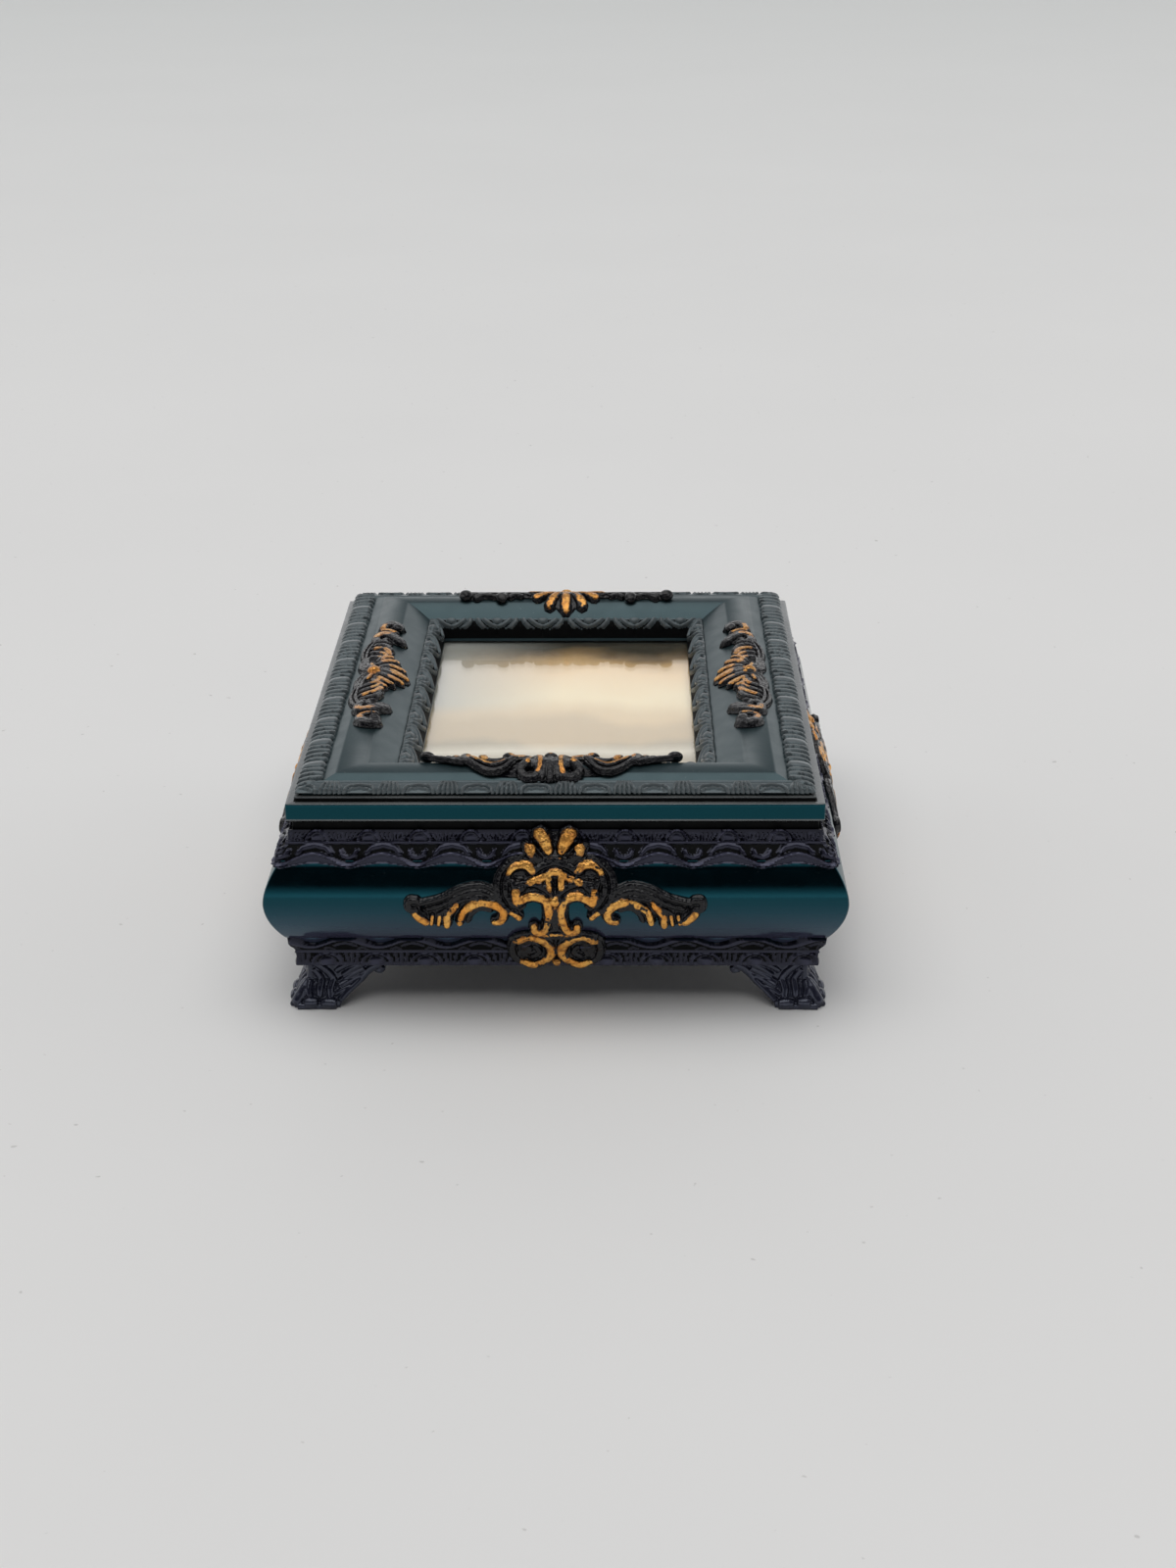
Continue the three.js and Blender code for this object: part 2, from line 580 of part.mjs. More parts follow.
const LID_ORNAMENT_SECTION = [
  [0, LID_ORNAMENT_EDGE], [0.2, LID_ORNAMENT_RIDGE], [0.4, LID_ORNAMENT_GROOVE], [0.6, LID_ORNAMENT_RIDGE],
  [0.8, LID_ORNAMENT_RIDGE], [1, LID_ORNAMENT_EDGE],
];

// ratio is the width of this member over that of a side one.
function lidOrnament(ratio, outline) {
  const section = frameProfile().map(([inset, height]) => [
    (LEDGE_WIDTH + inset) * ratio,
    ledgeTop + height,
  ]);
  const place = (x, inset, lift) => new THREE.Vector3(x, inset, along(section, inset, 0, 1) + lift);
  const mirror = outline.slice(1).reverse().map(([x, outer, inner]) => [-x, outer, inner]);
  const rings = [...mirror, ...outline].map(([x, outer, inner]) => {
    const at = (share, lift) => place(x, THREE.MathUtils.lerp(outer, inner, share), lift);
    const back = LID_ORNAMENT_SECTION.map(([share]) => at(share, ORNAMENT_GAP));
    const top = LID_ORNAMENT_SECTION.map(([share, lift]) => at(share, lift)).reverse();
    return [...back, ...top];
  });
  return solidOf(loftGeometry(rings, inPlan)); // so its top and its back are split alike
}

// Assembly
const box = new THREE.Group();
const body = new THREE.Group();
const lid = new THREE.Group();
box.add(body, lid);

body.add(meshOf("body_shell", bodyShell().subtract(hingePockets(-1)), resin));
const padHalf = [wellHalfWidth - LINING_GAP, wellHalfDepth - LINING_GAP];
body.add(meshOf("floor_lining", slab(...padHalf, wellFloor, padTop), velvet));
for (const [name, solid] of Object.entries(wallPanels())) {
  body.add(meshOf(name, solid, velvet));
}

const footSolid = solidOf(footGeometry());
const footPlaces = { front_right: [1, 1], front_left: [-1, 1], back_right: [1, -1], back_left: [-1, -1] };
for (const [place, [x, y]] of Object.entries(footPlaces)) {
  const foot = meshOf("foot_" + place, footSolid, resin);
  foot.scale.set(x, y, 1);
  body.add(foot);
}

lid.add(meshOf("lid_tray", lidTray().subtract(hingePockets(1)), resin));
lid.add(meshOf("picture_frame", pictureFrame(), frameResin));
for (const [name, [solid, material]] of Object.entries(pictureStack())) {
  lid.add(meshOf(name, solid, material));
}
lid.add(meshOf(
  "lid_lining",
  slab(lipHalfWidth - LID_LINING_INSET, lipHalfDepth - LID_LINING_INSET, liningBottom, lipBottom),
  velvet,
));

// Each side of the box: its turn about Z, and how far its edge is from the middle.
const sides = {
  front: [0, LID_HALF_DEPTH],
  right: [Math.PI / 2, LID_HALF_WIDTH],
  back: [Math.PI, LID_HALF_DEPTH],
  left: [-Math.PI / 2, LID_HALF_WIDTH],
};
const cartoucheSolid = cartouche();
const ornamentSolids = {
  front: lidOrnament(END_MEMBER_RATIO, FRONT_OUTLINE),
  back: lidOrnament(END_MEMBER_RATIO, BACK_OUTLINE),
  side: lidOrnament(1, SIDE_OUTLINE),
};
for (const [name, [turn, edge]] of Object.entries(sides)) {
  const onBody = new THREE.Group();
  onBody.rotation.z = turn;
  const badge = meshOf("cartouche_" + name, cartoucheSolid, gilded);
  badge.position.y = -edge;
  onBody.add(badge);
  body.add(onBody);
  const onLid = new THREE.Group();
  onLid.rotation.z = turn;
  const casting = meshOf("lid_ornament_" + name, ornamentSolids[name] ?? ornamentSolids.side, gilded);
  casting.position.set(name === "front" ? FRONT_ORNAMENT_SHIFT : 0, -edge, 0);
  onLid.add(casting);
  lid.add(onLid);
}

for (const [name, place] of [["left", -1], ["right", 1]]) {
  const at = new THREE.Vector3(place * HINGE_SPACING / 2, pinY, pinZ);
  const carried = [
    [body, "hinge_" + name + "_body_leaf", hingeLeaf(-1)],
    [body, "hinge_" + name + "_pin", hingePin()],
    [lid, "hinge_" + name + "_lid_leaf", hingeLeaf(1)],
    ...screwPlaces(-1, 0).map((solid, i) => [body, "hinge_" + name + "_body_screw_" + (i + 1), solid]),
    ...screwPlaces(1, 0).map((solid, i) => [lid, "hinge_" + name + "_lid_screw_" + (i + 1), solid]),
  ];
  for (const [group, label, solid] of carried) {
    const piece = meshOf(label, solid, brass);
    piece.position.copy(at);
    group.add(piece);
  }
}

export default box;
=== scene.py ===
# %% [markdown]
# # A jewellery box with a picture lid
# The real object is a small footed box cast in dark resin. Its sides bulge, its mouldings are carved, and
# gilded castings are fixed to the sides and the lid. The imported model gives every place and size, and this
# lesson dresses it: smooth shells first, then carved bands, linings, castings and feet, and last finishes.

import json
import math

import bmesh
import bpy
import numpy as np
from mathutils import Matrix, Vector

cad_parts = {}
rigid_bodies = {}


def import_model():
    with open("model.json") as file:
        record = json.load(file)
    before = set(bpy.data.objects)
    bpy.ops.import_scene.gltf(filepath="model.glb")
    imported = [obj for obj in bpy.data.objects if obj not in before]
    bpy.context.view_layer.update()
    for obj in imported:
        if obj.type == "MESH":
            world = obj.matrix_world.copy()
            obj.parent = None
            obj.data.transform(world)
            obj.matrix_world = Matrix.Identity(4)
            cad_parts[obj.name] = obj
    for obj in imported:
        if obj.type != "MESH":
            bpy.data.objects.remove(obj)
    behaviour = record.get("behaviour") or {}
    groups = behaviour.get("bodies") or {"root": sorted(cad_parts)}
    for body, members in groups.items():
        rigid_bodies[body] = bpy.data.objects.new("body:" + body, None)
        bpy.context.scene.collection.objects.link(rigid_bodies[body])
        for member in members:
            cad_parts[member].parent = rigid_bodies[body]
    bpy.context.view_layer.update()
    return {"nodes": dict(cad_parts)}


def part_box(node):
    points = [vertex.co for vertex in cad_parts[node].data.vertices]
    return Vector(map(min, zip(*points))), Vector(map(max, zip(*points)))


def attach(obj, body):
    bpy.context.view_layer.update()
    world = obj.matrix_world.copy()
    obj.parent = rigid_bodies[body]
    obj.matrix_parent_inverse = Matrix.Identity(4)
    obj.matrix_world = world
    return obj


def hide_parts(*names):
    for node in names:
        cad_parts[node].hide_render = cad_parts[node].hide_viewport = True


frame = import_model()

# %% [markdown]
# ## The camera
# The photograph was taken from a little above the lid, looking down at 24 degrees. The camera comes first
# because every comparison depends on it. Its place and turn were worked out from the lid's corners and
# the feet, so it is built from its own three directions instead of being aimed by eye.

# %% Camera
PITCH = math.radians(24.177)
YAW = math.radians(-0.879)
ROLL = math.radians(-0.405)
CAMERA_PLACE = (0.01248, -0.45365, 0.22621)
FOCAL_PIXELS = 2318.1
IMAGE_HEIGHT = 1600
SENSOR = 36

forward = Vector((math.sin(YAW) * math.cos(PITCH), math.cos(YAW) * math.cos(PITCH), -math.sin(PITCH)))
level_right = Vector((math.cos(YAW), -math.sin(YAW), 0))
level_up = level_right.cross(forward)
right = math.cos(ROLL) * level_right + math.sin(ROLL) * level_up
up = -math.sin(ROLL) * level_right + math.cos(ROLL) * level_up

bpy.ops.object.camera_add(location=CAMERA_PLACE)
camera = bpy.context.object
camera.name = "photo_camera"
turn = Matrix((right, up, -forward)).transposed()
camera.matrix_world = Matrix.Translation(camera.location) @ turn.to_4x4()
camera.data.sensor_fit = "AUTO"
camera.data.sensor_width = SENSOR
camera.data.lens = FOCAL_PIXELS / IMAGE_HEIGHT * SENSOR
camera.data.clip_start = 0.01
bpy.context.scene.camera = camera
print("lens:", round(camera.data.lens, 2), "mm")

# %% [markdown]
# ## Helpers for modelling
# Everything below is measured in millimetres, and turned into metres where a mesh is made. Each helper is
# one move that a modeller makes by hand: select all of a mesh, apply a modifier, copy or join pieces.
# Everything is deselected first, because operators act on all that is selected.

# %% Selecting and applying
MM = 0.001


def clean_start():
    if bpy.context.object and bpy.context.object.mode != "OBJECT":
        bpy.ops.object.mode_set(mode="OBJECT")
    bpy.ops.object.select_all(action="DESELECT")


def only(*pieces):
    clean_start()
    for piece in pieces:
        piece.select_set(True)
    bpy.context.view_layer.objects.active = pieces[0]


def edit_all(piece):
    only(piece)
    bpy.ops.object.mode_set(mode="EDIT")
    bpy.ops.mesh.select_all(action="SELECT")


def settle():
    bpy.ops.object.transform_apply(location=True, rotation=True, scale=True)


def apply_modifier(piece, kind, **settings):
    only(piece)
    modifier = piece.modifiers.new(kind.lower(), kind)
    for key, value in settings.items():
        setattr(modifier, key, value)
    bpy.ops.object.modifier_apply(modifier=modifier.name)


# %% Naming, copying and finishing
def named(name):
    piece = bpy.context.object
    piece.name = name
    piece.data.name = name
    return piece


def copied(source, name):
    piece = source.copy()
    piece.data = source.data.copy()
    bpy.context.collection.objects.link(piece)
    piece.name = name
    return piece


def finish_piece(piece, body, replaced=(), angle=35):
    only(piece)
    settle()
    edit_all(piece)
    bpy.ops.mesh.normals_make_consistent(inside=False)
    only(piece)
    bpy.ops.object.shade_smooth_by_angle(angle=math.radians(angle))
    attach(piece, body)
    if replaced:
        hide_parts(*replaced)
    print(piece.name, len(piece.data.polygons), "faces")
    return piece


# %% Points and their values
def points_of(piece):
    flat = np.zeros(len(piece.data.vertices) * 3)
    piece.data.vertices.foreach_get("co", flat)
    return flat.reshape(-1, 3) / MM


def move_points(piece, points):
    piece.data.vertices.foreach_set("co", (points * MM).ravel())
    piece.data.update()


def mark_points(piece, name, values):
    attribute = piece.data.attributes.new(name, "FLOAT", "POINT")
    attribute.data.foreach_set("value", values.astype(np.float32))


# %% [markdown]
# ## Rectangular forms
# The body, the tray of the lid and the picture frame are all rectangles that grow and shrink with height.
# They could be swept along a rail, but a plane that is extruded and resized level by level gives the same
# form with clean quads, and keeps each corner a true mitre. Where the form is a ring, the last level comes
# back to the first one, and the two end faces are deleted so that the ring closes.

# %% Raising a form from a plane
BEVEL_STEPS = 3


def raised(name, levels, ring=False):
    clean_start()
    half_x, half_y, height = levels[0]
    bpy.ops.mesh.primitive_plane_add(size=2, location=(0, 0, height * MM))
    piece = named(name)
    settle()
    bpy.ops.object.mode_set(mode="EDIT")
    bpy.ops.transform.resize(value=(half_x * MM, half_y * MM, 1), center_override=(0, 0, height * MM))
    for next_x, next_y, next_height in levels[1:]:
        rise = (next_height - height) * MM
        bpy.ops.mesh.extrude_region_move(TRANSFORM_OT_translate={"value": (0, 0, rise)})
        bpy.ops.transform.resize(
            value=(next_x / half_x, next_y / half_y, 1), center_override=(0, 0, next_height * MM)
        )
        half_x, half_y, height = next_x, next_y, next_height
    if ring:
        bpy.ops.mesh.delete(type="FACE")
        bpy.ops.object.mode_set(mode="OBJECT")
        close_ring(piece, levels[0][0] * MM, levels[0][2] * MM)
    clean_start()
    return piece


# %% Closing a ring and rounding edges
SAME_PLACE = 1e-7  # metres
WELD = 1e-6


def close_ring(piece, half_x, height):
    ring = bmesh.new()
    ring.from_mesh(piece.data)
    first_level = {
        vertex for vertex in ring.verts
        if abs(abs(vertex.co.x) - half_x) < SAME_PLACE and abs(vertex.co.z - height) < SAME_PLACE
    }
    first_caps = [face for face in ring.faces if first_level.issuperset(face.verts)]
    bmesh.ops.delete(ring, geom=first_caps, context="FACES_ONLY")
    bmesh.ops.remove_doubles(ring, verts=ring.verts, dist=WELD)
    ring.to_mesh(piece.data)
    ring.free()


def bevel_edges(piece, chosen, width):
    edit_all(piece)
    bpy.ops.mesh.select_mode(type="EDGE")
    bpy.ops.mesh.select_all(action="DESELECT")
    bpy.ops.object.mode_set(mode="OBJECT")
    points = [v.co / MM for v in piece.data.vertices]
    for edge in piece.data.edges:
        edge.select = chosen(*(points[i] for i in edge.vertices))
    bpy.ops.object.mode_set(mode="EDIT")
    bpy.ops.mesh.bevel(offset=width * MM, segments=BEVEL_STEPS, affect="EDGES")
    bpy.ops.object.mode_set(mode="OBJECT")


# %% [markdown]
# ## The body
# The real body is one thick casting whose sides swell like a cushion between two carved borders. Its wall
# is written as a profile: how far each height stands out past the edge of the lid. The bands that carry
# carving are sunk a little, because the carved pieces are made separately and stand on them.

# %% Body profile
HALF_WIDTH = 51.9
HALF_DEPTH = 58.2
BODY_BOTTOM = 9.2
BELLY_BOTTOM = 16.4
BELLY_TOP = 32.2
BELLY_OUT = 4.85
BELLY_FOOT_OUT = 1.6
BELLY_HEAD_OUT = 2.1
BELLY_PEAK = 0.545  # share of the belly's height at which it stands out most
BELLY_ROUNDNESS = 1.8
BELLY_LEVELS = 25
RIM_TOP = 40.4
WELL_HALF = (47.0, 53.3)
WELL_FLOOR = 12.4
BODY_CORNER = 0.45
UPRIGHT_RISE = 0.05  # least rise of an edge that counts as upright


def belly_out(height):
    share = (height - BELLY_BOTTOM) / (BELLY_TOP - BELLY_BOTTOM)
    if share < BELLY_PEAK:
        fallen = ((BELLY_PEAK - share) / BELLY_PEAK) ** BELLY_ROUNDNESS
        return BELLY_OUT - (BELLY_OUT - BELLY_FOOT_OUT) * fallen
    past = (share - BELLY_PEAK) / (1 - BELLY_PEAK)
    return BELLY_OUT - (BELLY_OUT - BELLY_HEAD_OUT) * past ** BELLY_ROUNDNESS


belly = [(belly_out(height), height) for height in np.linspace(BELLY_BOTTOM, BELLY_TOP, BELLY_LEVELS)]
foot_of_wall = [(-1.3, BODY_BOTTOM), (-1.0, 9.4), (-1.0, 12.0), (-0.5, 12.5), (0.0, 14.2), (0.5, 15.7)]
top_of_wall = [(2.0, 33.3), (1.7, 34.4), (0.4, 35.5), (-1.0, 36.4), (-1.0, 38.7), (-1.0, 40.2)]
levels = [(HALF_WIDTH + out, HALF_DEPTH + out, height) for out, height in foot_of_wall + belly + top_of_wall]
levels += [
    (HALF_WIDTH - 1.2, HALF_DEPTH - 1.2, RIM_TOP),
    (WELL_HALF[0] + 0.2, WELL_HALF[1] + 0.2, RIM_TOP),
    (*WELL_HALF, RIM_TOP - 0.2),
    (*WELL_HALF, WELL_FLOOR),
]


def on_body_corner(a, b):
    beyond_well = min(abs(a.x), abs(b.x)) > WELL_HALF[0] + 1.5
    return abs(a.z - b.z) > UPRIGHT_RISE and beyond_well and max(a.z, b.z) < RIM_TOP + UPRIGHT_RISE


body_shell = raised("body_shell_cast", levels)
bevel_edges(body_shell, on_body_corner, BODY_CORNER)
print("wall levels:", len(levels))

# %% [markdown]
# ## Pockets for the hinges
# The brass leaves are let into the rim and into the underside of the lid. A boolean cut with a block a
# little wider than the leaf gives the pocket, and the leaf itself says where it goes.

# %% Cutting the hinge pockets
PLAY = 0.2
POCKET_FRONT = 53.6
POCKET_BACK = 61.0
POCKET_HEIGHTS = {"body": (39.9, 43.0), "lid": (38.3, 41.2)}


def cut_pockets(piece, member):
    bottom, top = POCKET_HEIGHTS[member]
    for side in ("left", "right"):
        low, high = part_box(f"hinge_{side}_{member}_leaf")
        first = Vector((low.x / MM - PLAY, POCKET_FRONT, bottom))
        last = Vector((high.x / MM + PLAY, POCKET_BACK, top))
        clean_start()
        bpy.ops.mesh.primitive_cube_add(size=1, location=(first + last) / 2 * MM)
        cutter = bpy.context.object
        cutter.scale = (last - first) * MM
        settle()
        apply_modifier(piece, "BOOLEAN", object=cutter, operation="DIFFERENCE", solver="EXACT")
        bpy.data.objects.remove(cutter)


cut_pockets(body_shell, "body")
finish_piece(body_shell, "box", ["body_shell"])

# %% [markdown]
# ## The tray of the lid
# The lid is a shallow tray with a plain, glossy edge. A lip under it drops inside the rim. On top, the
# photograph shows a narrow level ledge, a dark groove, and a thin rounded fillet that stands above it, all
# round the foot of the frame. So the levels go up, in, and over the fillet, before they turn down through
# the window that holds the glass.

# %% Lid tray
END_RATIO = 0.771  # width of a front or back member over that of a side one
LID_BOTTOM = 40.7
LEDGE_TOP = 44.4
LIP_BOTTOM = 38.2
LIP_HALF = (46.2, 52.5)
WINDOW_HALF = (31.95, 42.88)
LID_CORNER = 0.3


def inset_level(inset, height, ratio=END_RATIO):
    return (HALF_WIDTH - inset, HALF_DEPTH - inset * ratio, height)


tray_levels = [(*LIP_HALF, LIP_BOTTOM), (*LIP_HALF, LID_BOTTOM)]
for inset, rise in ((0.25, 0), (0, 0.25), (0, 0.5)):  # lower edge
    tray_levels.append(inset_level(inset, LID_BOTTOM + rise, 1))
for inset, rise in ((0, -0.3), (0.08, -0.09), (0.3, 0)):  # upper edge
    tray_levels.append(inset_level(inset, LEDGE_TOP + rise, 1))
for inset, rise in (  # ledge, groove, fillet, and the seat of the frame
    (1.5, 0), (1.6, -0.12), (1.85, -0.12), (1.9, 0.62), (1.7, 0.7), (1.62, 0.84), (1.7, 0.98), (1.9, 1.04),
    (2.5, 1.04), (2.7, 0.3), (4.5, -0.1),
):
    tray_levels.append(inset_level(inset, LEDGE_TOP + rise))
tray_levels += [(*WINDOW_HALF, LEDGE_TOP - 0.1), (*WINDOW_HALF, LIP_BOTTOM), tray_levels[0]]


def on_lid_corner(a, b):
    beyond_x = min(abs(a.x), abs(b.x)) > HALF_WIDTH - 0.4
    beyond_y = min(abs(a.y), abs(b.y)) > HALF_DEPTH - 0.4
    return abs(a.z - b.z) > UPRIGHT_RISE and beyond_x and beyond_y


lid_tray = raised("lid_tray_cast", tray_levels, ring=True)
bevel_edges(lid_tray, on_lid_corner, LID_CORNER)
cut_pockets(lid_tray, "lid")
finish_piece(lid_tray, "lid", ["lid_tray"])

# %% [markdown]
# ## The frame's smooth cushion
# Between its two carved mouldings the frame is a smooth swelling band. It is the part that catches most
# of the light, so it gets close levels. The front and back members are narrower than the sides by one
# ratio, which is why the mitres don't run at 45 degrees. Under the mouldings the section is kept low,
# and on the inside it reaches down to the glass.

# %% Frame cushion
CUSHION_START = 6.7
CUSHION_WIDTH = 13.7
CUSHION_OUTER_RISE = 2.5
CUSHION_INNER_RISE = 0.8
CUSHION_SWELL = 2.3
FRAME_FOOT = LEDGE_TOP - 0.05
SEAT_INSET = 20.25
TONGUE_BOTTOM = 41.0


def cushion_height(inset):
    share = np.clip((inset - CUSHION_START) / CUSHION_WIDTH, 0, 1)
    slope = CUSHION_OUTER_RISE + (CUSHION_INNER_RISE - CUSHION_OUTER_RISE) * share
    return LEDGE_TOP + slope + CUSHION_SWELL * np.sin(share * np.pi)


cushion_insets = CUSHION_START + CUSHION_WIDTH * np.linspace(0, 1, 25)
frame_section = [(3.1, FRAME_FOOT), (3.1, 45.5), (4.4, 46.3), (6.2, 46.4)]
frame_section += [(inset, cushion_height(inset)) for inset in cushion_insets]
frame_section += [
    (20.9, 44.9), (22.2, 44.2), (23.7, 41.8), (23.9, TONGUE_BOTTOM), (SEAT_INSET, TONGUE_BOTTOM),
    (SEAT_INSET, FRAME_FOOT), frame_section[0],
]
frame_cushion = raised("frame_cushion", [inset_level(*place) for place in frame_section], ring=True)
finish_piece(frame_cushion, "lid", angle=25)

# %% [markdown]
# ## Carved bands
# Four bands of carving run round the box: two on the body and two on the frame. Real carving like this
# was cut once into a master and cast. A sculptor would use brushes; here a fine grid is wrapped round the
# box and each of its points is pushed out by the carving's height there. The pattern is written as
# strokes, such as the arch over an egg or one rib of a fan, which keeps it readable and repeats it
# exactly. A stroke is its points, its width and its crest.

# %% Heights of strokes
def bump(distance, width, crest):
    return crest * np.sqrt(np.clip(1 - (distance / (width / 2)) ** 2, 0, 1))


def distance_to(x, v, points):
    nearest = np.full(x.shape, 1e9)
    for (x0, v0), (x1, v1) in zip(points, points[1:]):
        length = (x1 - x0) ** 2 + (v1 - v0) ** 2 or 1e-9
        share = np.clip(((x - x0) * (x1 - x0) + (v - v0) * (v1 - v0)) / length, 0, 1)
        nearest = np.minimum(nearest, np.hypot(x - x0 - share * (x1 - x0), v - v0 - share * (v1 - v0)))
    return nearest


def dome(x, v, half_width, rise, crest):
    inside = np.clip(1 - (x / half_width) ** 2 - (v / rise) ** 2, 0, 1)
    return np.where(v >= -0.02, crest * np.sqrt(inside), 0)


def laid_over(height, added, base=0.0):
    return np.where(added > 0.01, np.maximum(height, base + added), height)


def stroked(height, x, v, *strokes, base=0.0):
    for points, width, crest in strokes:
        height = laid_over(height, bump(distance_to(x, v, points), width, crest), base)
    return height


def arch(half_width, rise):
    return [(half_width * math.cos(a), rise * math.sin(a)) for a in np.linspace(math.pi, 0, 9)]


def mirrored(line):
    return [(-x, v) for x, v in reversed(line) if x > 0] + line


def repeat(x, pitch, phase=0):
    return (x - phase + pitch / 2) % pitch - pitch / 2


# %% [markdown]
# The grid is laid out side by side round the box, front first. Each column keeps its share of the side's
# length, so the columns meet along the mitres, and a point is pushed along the slope of the band. The
# carving fades to its mean height at the mitres. A few rows behind the band close it into a solid, and
# each point remembers its height, so that a material can tell a crest from a hollow.

# %% Wrapping a grid round the box
ENDS = ("front", "back")
SIDES = ("front", "right", "back", "left")
BACK_ROWS = 5
STEP_ACROSS = 0.24
STEP_ALONG = 0.3
FADE = 0.9  # way before a mitre over which the carving fades
SMOOTHING = 3  # neighbours to each side whose normals are mixed in


def turned(side, along, away, height):
    flat = {"front": (along, -away), "right": (away, along), "back": (-along, away), "left": (-away, -along)}
    return np.stack(np.broadcast_arrays(*flat[side], height), axis=-1)


# %% One side of a band
def on_side(side, share, out, height, ratio):
    x, y = HALF_WIDTH + out, HALF_DEPTH + out * ratio
    along, away = (x * share, y) if side in ENDS else (y * share, x)
    return turned(side, along, away, height)


def sampled(path):
    path = np.array(path, float)
    walked = np.concatenate([[0], np.cumsum(np.hypot(*np.diff(path, axis=0).T))])
    way = np.linspace(0, walked[-1], int(walked[-1] / STEP_ACROSS) + 1)
    points = np.stack([np.interp(way, walked, path[:, 0]), np.interp(way, walked, path[:, 1])], axis=-1)
    slope = np.gradient(points, axis=0)
    normals = np.stack([slope[:, 1], -slope[:, 0]], axis=-1)
    normals = np.pad(normals, ((SMOOTHING, SMOOTHING), (0, 0)), mode="edge")
    normals = sum(normals[i:i + len(way)] for i in range(2 * SMOOTHING + 1))
    normals /= np.linalg.norm(normals, axis=1, keepdims=True)
    return way, points, normals


def one_side(side, path, relief, ratio, depth):
    way, points, normals = sampled(path)
    half = HALF_WIDTH if side in ENDS else HALF_DEPTH
    reach = half + points[:, :1] * (1 if side in ENDS else ratio)
    shares = np.linspace(-1, 1, int(2 * half / STEP_ALONG), endpoint=False)[None, :]
    place, way, height = np.broadcast_arrays(shares * reach, way[:, None], points[:, 1:])
    pushed = relief(side, place, way, height)
    near = np.clip((np.abs(reach) - np.abs(place)) / FADE, 0, 1)
    near = near * near * (3 - 2 * near)
    pushed = near * pushed + (1 - near) * pushed.mean(axis=1, keepdims=True)
    out = points[:, :1] + pushed * normals[:, :1]
    shown = on_side(side, shares, out, height + pushed * normals[:, 1:], ratio)
    rows = np.linspace(len(points) - 1, 0, BACK_ROWS).astype(int)
    sunk = points[rows] - depth * normals[rows]
    behind = on_side(side, shares, sunk[:, :1], sunk[:, 1:], ratio)
    return np.concatenate([shown, behind]), np.pad(pushed, ((0, BACK_ROWS), (0, 0)))


# %% A whole band
def carved_band(name, path, relief, ratio=1.0, depth=0.9):
    strips = [one_side(side, path, relief, ratio, depth) for side in SIDES]
    made = np.concatenate([points for points, pushed in strips], axis=1)
    carved = np.concatenate([pushed for points, pushed in strips], axis=1)
    row_count, column_count = carved.shape
    clean_start()
    bpy.ops.mesh.primitive_grid_add(x_subdivisions=column_count, y_subdivisions=row_count, size=2)
    piece = named(name)
    share = (points_of(piece) * MM + 1) / 2
    column = np.rint(share[:, 0] * column_count).astype(int) % column_count
    row = np.rint(share[:, 1] * row_count).astype(int) % row_count
    move_points(piece, made[row, column])
    mark_points(piece, "carving", carved[row, column])
    edit_all(piece)
    bpy.ops.mesh.remove_doubles(threshold=1e-7)
    clean_start()
    return piece


# %% [markdown]
# ## Carving of the body
# Above the belly runs a scalloped border with a lip that hangs like a curtain, and over it a row of half
# eggs with fans of ribs between them. Below the belly a flatter scallop stands over a second row of
# larger eggs. Each border is one band, so its lip and its eggs come out of one skin as in the casting.
# What lies past the lip is pushed inwards, under the belly's skin, and so disappears.

# %% Upper border
UPPER_PITCH = 13.25
UPPER_PHASE = 33.1
UPPER_ARC = mirrored([(0, 35.95), (2.2, 35.6), (3.2, 34.7)])
CRESCENT = mirrored([(0, 33.9), (1.0, 34.2), (1.5, 35.0)])
TROUGH_CUP = mirrored([(0, 32.4), (1.0, 32.6), (1.7, 33.1)])
EGG_PITCH = 9.88
EGG_PHASE = 43.1
EGG_FOOT = 36.5
UPPER_SPAN = (31.4, 39.0)
TUCKED = -0.4


def scallop(x, phase, trough, crest):
    share = 0.5 + 0.5 * np.cos(2 * np.pi * (x - phase) / UPPER_PITCH)
    return trough + (crest - trough) * share ** 0.75


